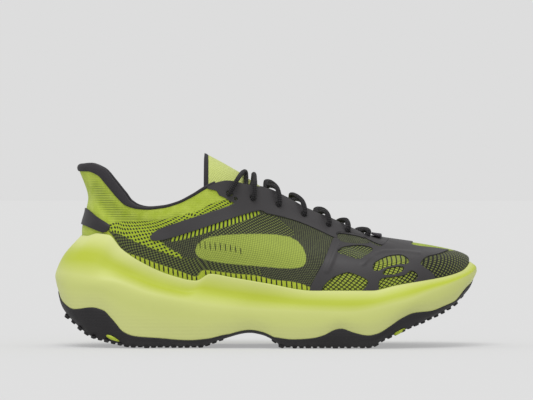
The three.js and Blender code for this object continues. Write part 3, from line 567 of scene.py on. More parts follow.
# ======== Midsole ========
# One block of soft lime foam with a satin moulded skin. It fills the rubber tray, swells over it all
# round and rises in a cup about the heel; fine lines of the mould run along its lower half. Its colour
# also carries painted light: a painted highlight band along the belly, painted shade under the knit
# cup and a painted highlight on the lip of the heel cup.
belly_line = loop(
    heel=0, toe=310, toe_y=6,
    lateral=[(15, 35), (40, 47), (70, 49.5), (110, 46.5), (140, 46.5), (175, 53), (215, 58.5), (250, 56),
    (280, 44)],
    medial=[(15, 35), (40, 46.5), (70, 48.5), (105, 44), (135, 41.5), (165, 45.5), (215, 58.5), (250, 57.5),
    (280, 48)],
    rise=[(0, 54.5), (40, 49), (75, 38), (120, 30), (165, 27), (215, 26), (250, 33), (280, 43), (310, 56)])
footbed = curve_through([(28, 42), (60, 38.5), (120, 36.5), (170, 30.5), (215, 27), (250, 31), (280, 40),
    (296, 48)])
scoop = curve_through([(0, 3.0), (14, 2.6), (32, 0.4), (60, -2.6), (100, -2.4), (150, -1.0), (200, 0.6),
    (260, 1.2), (310, 1.5)])


def footbed_z(x):
    return up_z(footbed(station_of(x)))


def cup_ring(height, lift):
    return off_upper(ring_angles, np.full(RING, height), np.full(RING, lift))


belly_ring = belly_line(ring_angles)
lip_ring = cup_ring(BITE, 1.3 * MM)
upper_foam_ring = between(belly_ring, lip_ring, 0.5, 0)
upper_foam_ring = grown(upper_foam_ring, scoop(station_of(upper_foam_ring[:, 0])) * MM)
foam_keys = np.stack([grown(rim_ring, -0.7 * MM) + [0, 0, 0.1 * MM],
    between(rim_ring, belly_ring, 0.5, 0.6 * MM), belly_ring, upper_foam_ring, lip_ring])
foam_rows = rows_through(foam_keys, np.linspace(0, 4, 45)[:, None] * np.ones(RING))

foam = Finish("midsole_foam", Specular_IOR_Level=0.35)
foam_grain = foam.noise(0.0005, 2)
foam_cloud = foam.noise(0.03, 2)
x, y, z = foam.place()
rise_of_foam = foam.stored("foam_rise")
# Painted highlight: a pale band along the belly of the foam stands for the reflection of the soft light on its satin
# skin.
foam_painted_highlight_band = 1 - (rise_of_foam - 1.6).size().over(0.5, 0.7)
# Painted shade: the foam just under the knit cup is darkened and more saturated, as if shaded from the light above.
foam_painted_cup_shade = 1 - (rise_of_foam - 2.95).size().over(0.5, 0.7)
# Painted highlight: the top lip of the heel cup, which faces up to the light, is paled.
foam_painted_lip_highlight = rise_of_foam.over(3.6, 0.6) * (1 - x.over(-0.098, 0.03))
foam_low = 1 - rise_of_foam.over(0.9, 0.9)
# Noise that breaks up the painted highlight band into streaks.
painted_highlight_streaks = foam.noise(0.018, 3)
foam_tone = foam.mix(foam_cloud, paint(181, 193, 40), paint(189, 199, 56))
foam_tone = foam.mix(foam_low * 0.7, foam_tone, paint(190, 196, 100))
# The painted highlight colour is mixed in along the belly band here.
foam_tone = foam.mix((foam_painted_highlight_band * (foam_cloud * 0.9 + painted_highlight_streaks * 0.9 - 0.25)).step("MINIMUM", 0.95), foam_tone,
    paint(212, 215, 162))
# The painted shade under the cup is mixed in here.
foam_tone = foam.mix(foam_painted_cup_shade * 0.85, foam_tone, paint(176, 189, 34))
foam.fill(foam.shader, {
    "Base Color": foam.mix(foam_painted_lip_highlight * 0.9, foam_tone, paint(210, 216, 140)),
    "Roughness": foam_cloud * 0.12 + 0.4})
foam.relief(foam_grain * 0.3 + z.sine(0.0026) * foam_low * 0.2, 0.0002, 0.35)

seat_ring = grown(cup_ring(0.0, BOND), 0, footbed_z)
midsole_rings = [
    drawn_in(floor_ring, 0, lambda x: tread_z(x) + RUBBER + GAP),
    grown(floor_ring, -GAP, lambda x: tread_z(x) + RUBBER + GAP),
    grown(inner_rim_ring, -GAP), *foam_rows, cup_ring(BITE + 0.006, 0.7 * MM), cup_ring(BITE, 0.25 * MM),
    cup_ring(BITE * 0.5, 0.25 * MM),
    seat_ring, drawn_in(seat_ring, 0, footbed_z)]
foam_rise = np.concatenate([[0, 0, 0], np.linspace(0, 4, len(foam_rows)), [4] * 5])
midsole = stack("midsole_foam", midsole_rings, foam, {"foam_rise": np.repeat(foam_rise, RING)})
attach(midsole, "shoe")
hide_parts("midsole")


# ======== Insole ========
# A stitched board closes the upper underneath and thin stiffeners stand inside the heel and the toe. A
# soft foam insole with a knitted face lies loose on the board, its edges turned up round the foot.
board = Finish("insole_board", Roughness=0.9)
board.fill(board.shader,
    {"Base Color": board.mix(board.noise(0.001), paint(216, 212, 200), paint(190, 186, 172))})
board.relief(board.noise(0.0008), 0.0002)
hidden = Finish("moulded_stiffener", Roughness=0.6)
hidden.fill(hidden.shader,
    {"Base Color": hidden.mix(hidden.noise(0.002), paint(206, 202, 188), paint(186, 182, 170))})
hidden.relief(hidden.noise(0.001), 0.0001)
for node, finish in (("strobel_board", board), ("heel_counter", hidden), ("toe_puff", hidden)):
    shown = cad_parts[node]
    shown.data.materials.clear()
    shown.data.materials.append(finish.material)

INSOLE_INSET, INSOLE_LIFT, INSOLE_THICKNESS = 5.6 * MM, 2.1 * MM, 5.1 * MM
insole_cloth = Finish("insole_cloth", Roughness=0.92, Sheen_Weight=0.15)
x, y, z = insole_cloth.place()
insole_weave = (x + y).sine(0.0018) * (x - y).sine(0.0018)
insole_face = insole_cloth.mix(insole_weave.over(0.2, 0.4), paint(40, 38, 41), paint(60, 58, 61))
insole_cut = insole_cloth.mix(insole_cloth.noise(0.0009), paint(96, 94, 90), paint(78, 76, 74))
insole_cloth.fill(insole_cloth.shader, {
    "Base Color": insole_cloth.mix(insole_cloth.stored("cloth_face").over(0.5, 0.2), insole_cut,
    insole_face)})
insole_cloth.relief(insole_weave, 0.0003)
insole_edge = grown(cup_ring(0, 0), -INSOLE_INSET)
insole_rings, cloth_face = [], []
for share, fullness, face in ((0, 0, 0), (0.5, 0, 0), (0.9, 0, 0), (0.985, 0.12, 0), (1, 0.4, 0),
    (0.995, 0.75, 0), (0.98, 0.95, 1),
                              (0.95, 1.0, 1), (0.88, 0.93, 1), (0.75, 0.84, 1), (0.5, 0.8, 1), (0.25, 0.8, 1),
                              (0, 0.8, 1)):
    insole_rings.append(drawn_in(insole_edge, share,
        lambda x: footbed_z(x) + INSOLE_LIFT + INSOLE_THICKNESS * fullness))
    cloth_face.append(face)
insole = stack("insole", insole_rings, insole_cloth,
    {"cloth_face": np.repeat(np.array(cloth_face, float), RING)})
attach(insole, "sockliner")
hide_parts("sockliner_foam", "sockliner_cloth")


# ======== Knit upper ========
# One stocking of two-colour knit, lasted over the board and glued into the foam cup. The yarns change
# zone by zone: ribbed lime round the collar, dots and checks below it, open mesh at the forefoot.
# Painted shade darkens the ribbed lime just under the collar roll at the heel.
KNIT = 1.6 * MM
KNIT_ROWS = 84
knit_heights = np.linspace(0.012, 1, KNIT_ROWS)
knit_angle, knit_height = np.meshgrid(ring_angles, knit_heights)
knit_face = on_upper(knit_angle, knit_height)


def smooth_outline(points, steps=5):
    """A closed outline with its corners eased, from a few points in millimetres."""
    points = np.array(points, float)
    before, after, beyond = np.roll(points, 1, 0), np.roll(points, -1, 0), np.roll(points, -2, 0)
    t = (np.arange(steps) / steps)[None, :, None]
    a, b, c, d = [part[:, None, :] for part in (before, points, after, beyond)]
    eased = 0.5 * (2 * b + (c - a) * t + (2 * a - 5 * b + 4 * c - d) * t * t + (3 * b - a - 3 * c + d) * t ** 3)
    return eased.reshape(-1, 2)


def inside_by(places, outline, steps=5):
    """How many millimetres each point of the surface lies inside an outline drawn in side view."""
    flat = np.stack([station_of(places[..., 0]), places[..., 2] / up_z(1)], -1).reshape(-1, 2)
    start = smooth_outline(outline, steps)
    end = np.roll(start, -1, 0)
    nearest = np.full(len(flat), 1e9)
    crossings = np.zeros(len(flat), int)
    for a, b in zip(start, end):
        edge = b - a
        share = np.clip(((flat - a) @ edge) / max(edge @ edge, 1e-9), 0, 1)
        nearest = np.minimum(nearest, np.linalg.norm(flat - a - share[:, None] * edge, axis=1))
        spans = (a[1] > flat[:, 1]) != (b[1] > flat[:, 1])
        if a[1] != b[1]:
            crossings += spans & (flat[:, 0] < a[0] + (flat[:, 1] - a[1]) * edge[0] / edge[1])
    return np.where(crossings % 2 == 1, nearest, -nearest).reshape(places.shape[:-1])


COLLAR_ZONE = [
    (15, 142), (60, 142), (136, 142), (130, 112), (127, 107.5), (115.8, 105), (106, 99.5), (93.8, 96.5),
    (81.5, 93.6),
    (71.7, 92.4), (61.9, 92.4), (50.8, 91.8), (43, 90), (40, 86), (34, 83), (24, 80), (8, 78), (8, 120)]
# Painted shade: the band just under the collar roll at the heel, where the ribbed knit is darkened towards deep lime.
COLLAR_ROLL_PAINTED_SHADE = [
    (27.7, 122.2), (36.1, 117.9), (48.4, 103.8), (64.3, 95.8), (78, 95), (96, 100), (84, 93.5), (66, 91.5),
    (54.5, 90.3),
    (42.2, 92.8), (32.4, 103.8), (27.2, 114.9)]
DOT_ZONE = [
    (40, 90.2), (50.8, 92), (61.9, 92.8), (71.7, 92.8), (81.5, 94), (93.8, 97), (106, 100.2), (115.8, 105.4),
    (127, 108.3), (128, 103), (79, 82), (94, 67),
    (93.8, 65.6), (86.4, 67.2), (74.1, 71.6), (64.3, 75.4), (54.5, 79.8), (48.4, 82.9), (41, 85.4)]
CHECK_ZONE = [
    (41, 85.6), (48.4, 83.1), (54.5, 80.1), (64.3, 75.8), (74.1, 72.1), (86.4, 67.8), (93.8, 66), (106, 66),
    (118, 66.5),
    (140, 62), (150, 58), (150, 52.6), (130, 54.4), (111, 56.6), (104.5, 52), (90, 56.8), (74.1, 62.1),
    (64.3, 65.8),
    (52, 70), (48.4, 73.1), (44.7, 79.3)]
FOAM_EDGE_ZONE = [
    (36, 84.5), (41, 83.6), (46, 77), (48.4, 73.1), (52, 70), (64.3, 65.8), (74.1, 62.1), (90, 56.8),
    (104.3, 52),
    (108.8, 56.8), (129.6, 54.5), (147.7, 52.9), (160, 50), (173.5, 48.6), (183, 46.1), (189, 42), (190, 30),
    (30, 30)]
GRID_ZONE = [(106, 66), (114, 81), (172, 81), (182, 60), (146, 60)]
BOLD_ZONE = [(114, 81), (130, 91), (144, 97), (158, 97), (168, 91), (172, 81)]
BAR_BORDER = [(90, 82), (143, 99), (145, 95), (92, 78.5)]
MESH_WINDOWS = [
    [(232.2, 59), (233.9, 62.3), (241, 65.8), (247.2, 67.2), (254, 67.2), (258.4, 64), (257.2, 61),
    (250.8, 60.7),
     (242.2, 58.8), (236.1, 56.4), (232.7, 56.7)],
    [(239.2, 54.9), (243.5, 58.2), (253.3, 59.4), (254.3, 56.6), (248.4, 53.9), (241, 53.5)],
    [(237.1, 49.8), (244.7, 51.9), (254.5, 53.1), (259.4, 56.2), (263.4, 54.9), (264.3, 51), (255.7, 44),
    (245.9, 41),
     (237.3, 41)],
    [(197, 46), (203, 51.5), (212.8, 55.2), (218.9, 54.1), (226.3, 51), (228.5, 48), (225.1, 43),
     (218.9, 39), (198, 38), (195, 41)],
    [(267.2, 62.1), (271.7, 66), (280.3, 67.9), (291.3, 70.9), (301.1, 70.3), (308, 66), (308, 52),
    (297.5, 52),
     (285.2, 49), (278.4, 49), (276.4, 53.5), (271.7, 57.2), (268, 59.9)]]
STREAK_WINDOW = [(261, 75), (266, 77), (280, 75.6), (293, 72.6), (291.5, 70.4), (278, 72), (266, 73.4)]
INSTEP_WINDOWS = [
    [(206.4, 69.2), (208.5, 72.1), (212.8, 73.6), (223.8, 74.4), (232.4, 71.9), (228.1, 67.6), (221.4, 64.5),
    (213.4, 67)],
    [(207.3, 83), (215.2, 82.2), (223.8, 80.4), (228.7, 77.8), (229.5, 75.6), (222.6, 75.4), (215.2, 75.8),
    (209.1, 77.2),
     (206.9, 80)]]
zones = {
    "collar_zone": COLLAR_ZONE, "collar_roll_painted_shade": COLLAR_ROLL_PAINTED_SHADE, "dot_zone": DOT_ZONE, "check_zone": CHECK_ZONE,
    "foam_edge_zone": FOAM_EDGE_ZONE, "grid_zone": GRID_ZONE, "bold_zone": BOLD_ZONE,
    "bar_border": BAR_BORDER,
    "streak": STREAK_WINDOW}
stored = {name: inside_by(knit_face, outline) for name, outline in zones.items()}
stored["mesh_zone"] = np.max([inside_by(knit_face, outline) for outline in MESH_WINDOWS], axis=0)
stored["instep_zone"] = inside_by(knit_face, INSTEP_WINDOWS[0])

# Yarn lines: `along` runs round the shoe from the heel and `up` climbs from the foam, in millimetres.
step_round = np.linalg.norm(np.diff(knit_face, axis=1, append=knit_face[:, :1]), axis=-1)
HALF = RING // 2
outer_side = np.concatenate([np.zeros((KNIT_ROWS, 1)), np.cumsum(step_round[:, :HALF], 1)], 1)
inner_side = np.cumsum(step_round[:, :HALF - 1:-1], 1)[:, :-1]
scale_inner = outer_side[:, -1:] / np.cumsum(step_round[:, :HALF - 1:-1], 1)[:, -1:]
yarn_along = np.concatenate([outer_side, (inner_side * scale_inner)[:, ::-1]], 1)
step_up = np.linalg.norm(np.diff(knit_face, axis=0), axis=-1)
yarn_up = np.concatenate([np.zeros((1, RING)), np.cumsum(step_up, 0)])
yarn_up -= yarn_up[np.searchsorted(knit_heights, BITE)]
stored["yarn_along"] = yarn_along / MM
stored["toe_along"] = (outer_side[:, -1:] - yarn_along) / MM
stored["yarn_up"] = yarn_up / MM

knit = Finish("two_colour_knit", Sheen_Weight=0.15, Sheen_Roughness=0.5, Specular_IOR_Level=0.2)
along, up = knit.stored("yarn_along"), knit.stored("yarn_up")
x, y, z = knit.place()
LIME_YARN, PALE_YARN, DARK_YARN, DEEP_LIME = paint(164, 184, 48), paint(186, 202, 84), paint(38, 37,
    38), paint(88, 104, 38)
SOFT_EDGE = 0.8
speck = knit.noise(0.0011, 3)
mottle = knit.noise(0.006, 3)
loops = along.sine(1.1) * up.sine(1.1)
heather_grid = along.sine(3.2).size() * up.sine(2.6).size() + (speck - 0.5) * 0.9
heather = knit.mix(heather_grid.over(0.5, 0.5), DARK_YARN, paint(96, 102, 66))
check_cells = (along.sine(2.8) * up.sine(2.8) + (speck - 0.5) * 0.6).over(0.12, 0.6)
check = knit.mix(check_cells, DARK_YARN, paint(104, 114, 58))
dots = (along.sine(4.0) * up.sine(3.5) + (speck - 0.5) * 1.3).over(0.22, 0.25)
dotted = knit.mix(dots, LIME_YARN, paint(40, 40, 38))
ribs = z.sine(0.0017)
collar_tone = knit.mix(mottle.over(0.5, 0.6), LIME_YARN, PALE_YARN)
# Painted shade under the collar roll darkens the collar knit here, and the knit's real ribs show stronger in it.
painted_roll_shade = knit.stored("collar_roll_painted_shade").over(1.0, 5.0)
ribbed = knit.mix(ribs.over(0.1, 1.2) * (0.06 + painted_roll_shade * 0.5) + painted_roll_shade * 0.12, collar_tone, DEEP_LIME)
grid_lines = 1 - (along.sine(3.4).size().over(0.3, 0.3) * up.sine(3.2).size().over(0.3, 0.3))
grid_knit = knit.mix(grid_lines * 0.6 + mottle * 0.12, paint(168, 184, 80), paint(78, 90, 44))
bold = knit.mix(((along + up).sine(5.6).size().over(0.6, 0.3)) * ((along - up).sine(5.6).size().over(0.6,
    0.3)),
                DARK_YARN, paint(116, 126, 66))
toe_share = x.over(0.105, 0.02)
from_toe = knit.stored("toe_along")
net_lines = 1 - ((from_toe * 0.6 + up * 0.8).sine(4.7).size().over(toe_share * 0.24 + 0.42, 0.25)
                 * (from_toe * 0.6 - up * 0.8).sine(4.7).size().over(toe_share * 0.24 + 0.42, 0.25))
net = knit.mix(net_lines, knit.mix(toe_share, paint(156, 171, 60), paint(112, 120, 58)), paint(22, 21, 23))
instep_cells = knit.mix(((along + up).sine(6.4).size().over(0.6,
    0.3)) * ((along - up).sine(6.4).size().over(0.6, 0.3)),
                        DARK_YARN, paint(118, 130, 64))
ragged = (speck - 0.5) * 3


def zone(name, softness=SOFT_EDGE, rough=0.0):
    return (knit.stored(name) + ragged * rough).over(0, softness)


colour = heather
for name, rough, finish_colour in (
        ("check_zone", 0.6, check), ("foam_edge_zone", 0.1,
        knit.mix(mottle, paint(184, 199, 62), paint(172, 188, 54))),
        ("collar_zone", 0.4, ribbed), ("dot_zone", 1.0, dotted), ("bold_zone", 0.8, bold),
        ("grid_zone", 0.4, grid_knit),
        ("bar_border", 0.4, knit.mix(along.sine(2.9).over(0.1, 0.5), LIME_YARN, DARK_YARN)),
        ("instep_zone", 0.3, instep_cells), ("mesh_zone", 0.0, net),
        ("streak", 0.6, knit.mix(speck.over(0.5, 0.3) * 0.4, LIME_YARN, DEEP_LIME))):
    colour = knit.mix(zone(name, rough=rough), colour, finish_colour)
knit.fill(knit.shader, {"Base Color": colour, "Roughness": speck * 0.15 + 0.72})
knit.relief(loops * 0.5 + ribs * 0.12 * zone("collar_zone") + net_lines * zone("mesh_zone"), 0.00035, 0.6)

inner_heights = np.linspace(1, 0.012, 24)
inner_angle, inner_height = np.meshgrid(ring_angles, inner_heights)
inner_face = off_upper(inner_angle, inner_height, np.full(inner_angle.shape, -KNIT))
knit_points = np.concatenate([knit_face.reshape(-1, 3), inner_face.reshape(-1, 3)])
nearest_row = np.clip(np.searchsorted(knit_heights, inner_heights), 0, KNIT_ROWS - 1)
stored = {name: np.concatenate([values, values[nearest_row]]) for name, values in stored.items()}
total_rows = KNIT_ROWS + len(inner_heights)
knit_faces = sheet_faces(total_rows, RING, ring=True)
knit_faces += [((total_rows - 1) * RING + j, (total_rows - 1) * RING + (j + 1) % RING, (j + 1) % RING,
    j) for j in range(RING)]
upper = tidied(solid("knit_upper", knit_points, knit_faces, knit, stored))
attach(upper, "shoe")
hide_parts("quarter_knit_lateral", "quarter_knit_medial", "vamp_knit")


# ======== Bonded films ========
# Thin smooth charcoal film, cut to shape and heat-bonded on the knit: the eyestay and its bar on each
# side, the forefoot shell with windows over the open mesh, and a band round the heel. The bar, the
# rear edge of the shell and the rib are plain straight shapes.
FILM = 0.75 * MM
HEEL_FILM = 1.1 * MM
FILM_LIFT = 0.12 * MM
EYELETS = [(128, 13), (145, 15), (163.5, 17), (182, 18), (200, 17), (214, 17), (229, 13)]
EYELET_BORE = 4.2
EYESTAY = [
    (111.5, 117.2), (118.3, 114.6), (120.5, 111.4), (125, 109.2), (127.8, 106.9), (127.4, 103.4), (76, 86),
    (79, 78.5),
    (144.1, 98.8), (155.1, 97.8), (171.1, 94.1), (183.3, 89.8), (194.4, 84.9), (206, 79.6), (206.4, 83.6),
    (215.2, 83.4), (224, 81.4), (229.5, 78.4), (236, 75.5), (241, 75), (244, 84), (215, 98), (190, 108),
    (165, 121),
    (140, 129), (116, 129)]
SHELL = [
    (186, 40), (200, 30), (320, 30), (320, 95), (240, 95), (240, 74), (229, 77.4), (222, 84), (212, 86),
    (205, 82),
    (196, 62)]
HEEL_BAND = [(12, 101.6), (22.6, 101.5), (31, 95.7), (39.9, 89.8), (40.7, 87.4), (39.2, 85.4), (36, 84.2),
    (28, 86.9),
             (19.4, 89.8), (12, 90)]
RIB_LINE = [(199, 56), (203, 65), (207, 74)]
RIB_SPREAD, RIB_RISE = 1.3, 0.9
TOE_ARC = [(225, 60.9), (227.5, 63.3), (233.6, 67.6), (241, 69.7), (250.8, 69.7), (260.6, 68.8),
    (266.8, 68.2)]
ARC_SPREAD, ARC_RISE = 1.1, 0.6
SPARE_STATION, SPARE_SETBACK, SPARE_RADIUS = 132.5, 17.5, 1.4


def line_distance(places, line):
    """How many millimetres each point lies from an open line drawn in side view."""
    flat = np.stack([station_of(places[..., 0]), places[..., 2] / up_z(1)], -1)
    rise = curve_through(line)
    dense = np.linspace(line[0][0], line[-1][0], 80)
    track = np.stack([dense, rise(dense)], -1)
    return np.min(np.linalg.norm(flat[..., None, :] - track, axis=-1), axis=-1)


def angle_at(station, side, height):
    """The angle where the row `height(angle)` passes a station."""
    low, high = 0.001, math.pi - 0.001
    for _ in range(30):
        middle = (low + high) / 2
        if on_upper(side * middle, height(side * middle))[0] < along_x(station):
            low = middle
        else:
            high = middle
    return side * low


def per_metre(angle):
    return 0.25 / np.linalg.norm(on_upper(angle, 1.0) - on_upper(angle, 0.75))


def by_edge(station, side, setback, lift):
    """The point at a station, set back from the throat edge and lifted off the knit, in metres."""
    def height(angle):
        return 1 - setback * per_metre(angle)
    angle = angle_at(station, side, height)
    return off_upper(angle, height(angle), lift)


def cut_sheet(name, angles, heights, level, lift, finish, thickness):
    """A sheet on the upper, cut where `level` falls to 0, with an even thickness and eased edges."""
    angle, height = np.meshgrid(angles, heights)
    places = off_upper(angle, height, lift)
    columns = len(angles)
    level = level.ravel()
    flat = places.reshape(-1, 3)
    points, index, faces = [], {}, []

    def put(key, place):
        if key not in index:
            index[key] = len(points)
            points.append(place)
        return index[key]
    for quad in sheet_faces(len(heights), columns):
        kept = [level[i] > 0 for i in quad]
        if not any(kept):
            continue
        face = []
        for here, there in zip(quad, quad[1:] + quad[:1]):
            if level[here] > 0:
                face.append(put(here, flat[here]))
            if (level[here] > 0) != (level[there] > 0):
                share = level[here] / (level[here] - level[there])
                face.append(put((min(here, there), max(here, there)),
                    flat[here] + (flat[there] - flat[here]) * share))
        if len(set(face)) > 2:
            faces.append(face)
    piece = solid(name, points, faces, finish)
    walls = piece.modifiers.new("walls", "SOLIDIFY")
    walls.thickness = thickness
    walls.offset = 1
    walls.use_even_offset = False
    return piece


film = Finish("bonded_film", Specular_IOR_Level=0.35)
film_grain = film.noise(0.0007, 3)
film_cloud = film.noise(0.02, 3)
film.fill(film.shader, {
    "Base Color": film.mix(film_cloud, paint(51, 49, 51), paint(61, 59, 60)),
    "Roughness": film_cloud * 0.14 + 0.44})
film.relief(film_grain, 0.00012, 0.4)

FILM_COLUMNS, FILM_ROWS = 700, 130
around = np.linspace(0, TURN, FILM_COLUMNS)
climb = np.linspace(0.2, 1, FILM_ROWS)
film_angle, film_height = np.meshgrid(around, climb)
film_face = on_upper(film_angle, film_height)
stay_level = inside_by(film_face, EYESTAY)
shell_level = np.minimum(inside_by(film_face, SHELL, 4), -stay_level - 0.15)
for window in MESH_WINDOWS + [STREAK_WINDOW] + INSTEP_WINDOWS:
    shell_level = np.minimum(shell_level, -inside_by(film_face, window))
rib = (np.exp(-(line_distance(film_face, RIB_LINE) / RIB_SPREAD) ** 2) * RIB_RISE
       + np.exp(-(line_distance(film_face, TOE_ARC) / ARC_SPREAD) ** 2) * ARC_RISE)
for station, setback in EYELETS:
    for side in (1, -1):
        centre = by_edge(station, side, setback * MM, 0)
        hole = np.linalg.norm(film_face - centre, axis=-1) / MM - EYELET_BORE / 2
        stay_level = np.minimum(stay_level, hole)
        shell_level = np.minimum(shell_level, hole)
spare_hole = {}
for side in (1, -1):
    spare_hole[side] = by_edge(SPARE_STATION, side, SPARE_SETBACK * MM, 0)
    stay_level = np.minimum(stay_level, np.linalg.norm(film_face - spare_hole[side], axis=-1) / MM - SPARE_RADIUS)

left_half = around <= math.pi
for name, half, nodes in (("eyestay_film_lateral", left_half, ("eyestay_lateral", "saddle_film_lateral")),
                          ("eyestay_film_medial", ~left_half, ("eyestay_medial", "saddle_film_medial"))):
    stay = cut_sheet(name, around[half], climb, stay_level[:, half],
        np.full((FILM_ROWS, half.sum()), FILM_LIFT), film, FILM)
    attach(stay, "shoe")
    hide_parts(*nodes)
shell = cut_sheet("forefoot_shell", around, climb, shell_level, FILM_LIFT + rib * MM, film, FILM)
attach(shell, "shoe")
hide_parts("forefoot_film")
back = np.linspace(-0.6, 0.6, 160)
band_angle, band_height = np.meshgrid(back, climb)
band_level = inside_by(on_upper(band_angle, band_height), HEEL_BAND, 4)
band_film = Finish("heel_band_film", Specular_IOR_Level=0.35)
band_cloud = band_film.noise(0.012, 3)
band_film.fill(band_film.shader, {
    "Base Color": band_film.mix(band_cloud, paint(37, 35, 37), paint(48, 46, 48)),
    "Roughness": band_cloud * 0.15 + 0.45})
band_film.relief(band_film.noise(0.0007, 3), 0.00012, 0.4)
band = cut_sheet("heel_band_film", back, climb, band_level, np.full(band_level.shape, FILM_LIFT), band_film, HEEL_FILM)
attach(band, "shoe")
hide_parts("heel_band")


# ======== Dark yarn bars ========
# Short upright bars of dark yarn are worked along the foot of the knit, two runs on each side, and a
# few thinner ones in the lime grid panel.
def spot(station, height, side):
    """The (angle, height) of the surface at a station and height seen from one side."""
    half = knit_angle[0] < math.pi if side > 0 else knit_angle[0] > math.pi
    seen = knit_face[:, half]
    miss = (station_of(seen[..., 0]) - station) ** 2 + (seen[..., 2] / up_z(1) - height) ** 2
    row, column = np.unravel_index(np.argmin(miss), miss.shape)
    place = np.array([ring_angles[half][column], knit_heights[row]])
    goal = np.array([float(along_x(station)), float(up_z(height))])
    for _ in range(4):
        here = on_upper(place[0], place[1])[[0, 2]]
        nudge = 1e-4
        slope = np.stack([(on_upper(place[0] + nudge, place[1])[[0, 2]] - here) / nudge,
                          (on_upper(place[0], place[1] + nudge)[[0, 2]] - here) / nudge], 1)
        place = place + np.clip(np.linalg.solve(slope, goal - here), -0.02, 0.02)
        place[1] = np.clip(place[1], 0.02, 0.99)
    return place


def bar_shape(tree, given):
    """A flattened thread, one unit long, along its own Y."""
    thread = tree.nodes.new("GeometryNodeMeshUVSphere")
    thread.inputs["Segments"].default_value = 10
    thread.inputs["Rings"].default_value = 8
    tree.links.new(given.outputs["Thread Radius"], thread.inputs["Radius"])
    return thread.outputs["Mesh"]


yarn = Finish("dark_yarn", Roughness=0.8, Specular_IOR_Level=0.2)
yarn_fibre = yarn.noise(0.0005)
yarn.fill(yarn.shader, {"Base Color": yarn.mix(yarn_fibre, paint(32, 32, 30), paint(48, 47, 45))})
yarn.relief(yarn_fibre, 0.0002)
BAR_WIDTH, BAR_DEPTH = 1.1 * MM, 0.7 * MM
rear_top = curve_through([(52, 70.4), (64.3, 66.2), (74.1, 62.6), (90, 57.2), (104.2, 52.6)])
front_top = curve_through([(110, 57), (129.6, 55), (147.7, 53.4), (160, 50.8), (173.5, 49.2), (187, 46.8)])
front_length = curve_through([(110, 4), (140, 5), (165, 6.6), (187, 7)])
grid_top = curve_through([(106, 78.5), (118, 77.5), (130, 75.5), (137, 73)])
runs = [(s, float(rear_top(s)), 5.4, 1.0) for s in np.arange(52.6, 104, 3.42)]
runs += [(s, float(front_top(s)), float(front_length(s)) + 0.6, 1.0) for s in np.arange(110.6, 186, 3.68)]
runs += [(s, float(grid_top(s)), 6.8 - abs(s - 116) * 0.08, 0.6) for s in np.arange(106.4, 137, 3.7)]
bar_places, bar_frames, bar_sizes = [], [], []
for side in (1, -1):
    for station, top, length, weight in runs:
        head = off_upper(*spot(station, top, side), 0.1 * MM)
        foot = off_upper(*spot(station + 0.5, top - length, side), 0.1 * MM)
        above = off_upper(*spot(station, top, side), 2 * MM)
        run = Vector(head - foot)
        out = Vector(above - head).normalized()
        long_axis = run.normalized()
        cross = long_axis.cross(out).normalized()
        bar_places.append(Vector((head + foot) / 2))
        bar_frames.append([cross, long_axis, cross.cross(long_axis)])
        bar_sizes.append([BAR_WIDTH / 2 / MM * weight, run.length / 2 / MM, BAR_DEPTH / 2 / MM * weight])
bars = laid_out("yarn_bars", bar_places, bar_frames, bar_sizes, yarn, bar_shape, {"Thread Radius": 1 * MM})
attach(bars, "shoe")


# ======== Collar ========
# A roll of foam in brushed lining, turned over the top edge of the knit and stitched down inside. It is
# thick behind the heel and thins to a narrow piping round the ankle.
COLLAR_REACH = 1.466
lip_height = curve_through([(17, 4.0), (24, 5.2), (34, 5.4), (47, 5.0), (54, 3.2), (60, 1.9), (68, 1.2),
    (120, 1.5)])
pad_depth = curve_through([(0.06, 4.8), (0.38, 5.0), (0.62, 8.2), (0.9, 8.0), (1.0, 6.6)])
lining = Finish("brushed_lining", Roughness=0.9, Sheen_Weight=0.1, Sheen_Roughness=0.4,
    Specular_IOR_Level=0.2)
lining_weave = lining.noise(0.0007, 3)
x, y, z = lining.place()
lining.fill(lining.shader, {"Base Color": lining.mix(lining_weave, paint(44, 42, 45), paint(62, 60, 63))})
lining.relief(lining_weave + (x + z).sine(0.0016) * (x - z).sine(0.0016) * 0.3, 0.0003, 0.6)


def unit(vectors):
    return vectors / np.linalg.norm(vectors, axis=-1, keepdims=True)


def evened(vectors, reach=6):
    """Directions averaged with their neighbours, so that the roll turns without kinks."""
    padded = np.concatenate([vectors[:1]] * reach + [vectors] + [vectors[-1:]] * reach)
    return unit(sum(padded[i:i + len(vectors)] for i in range(2 * reach + 1)))


COLLAR_COLUMNS = 181
collar_angles = np.linspace(-COLLAR_REACH, COLLAR_REACH, COLLAR_COLUMNS)
collar_edge = on_upper(collar_angles, 1.0)
edge_run = unit(np.gradient(collar_edge, axis=0))
edge_out = evened(unit(np.cross(edge_run, collar_edge - on_upper(collar_angles, 0.9))))
edge_up = evened(unit(np.cross(edge_out, edge_run)))
lip = lip_height(station_of(collar_edge[:, 0]))
inner_keys = [off_upper(collar_angles, np.full(COLLAR_COLUMNS, h),
    np.full(COLLAR_COLUMNS, -float(pad_depth(h)) * MM))
              for h in (0.03, 0.1, 0.18, 0.28, 0.4, 0.5, 0.6, 0.7, 0.8, 0.88)]
roll_keys = [collar_edge + edge_up * (share * lip + drop)[:, None] * MM + edge_out * out * MM
             for share, drop, out in ((0.0, -1.6, -6.6), (0.5, -0.4, -5.8), (0.85, 0, -4.3), (1.0, 0, -2.4),
             (0.93, 0, -0.7),
                                      (0.62, 0, 0.55), (0.25, 0, 0.95), (0.0, -0.4, 0.8), (0.0, -0.8, 0.2))]
back_keys = [off_upper(collar_angles, np.full(COLLAR_COLUMNS, h), np.full(COLLAR_COLUMNS, -depth * MM))
             for h, depth in ((0.94, 1.7), (0.7, 1.7), (0.56, 2.4), (0.5, 3.9), (0.03, 3.9))]
keys = np.stack(inner_keys + roll_keys)
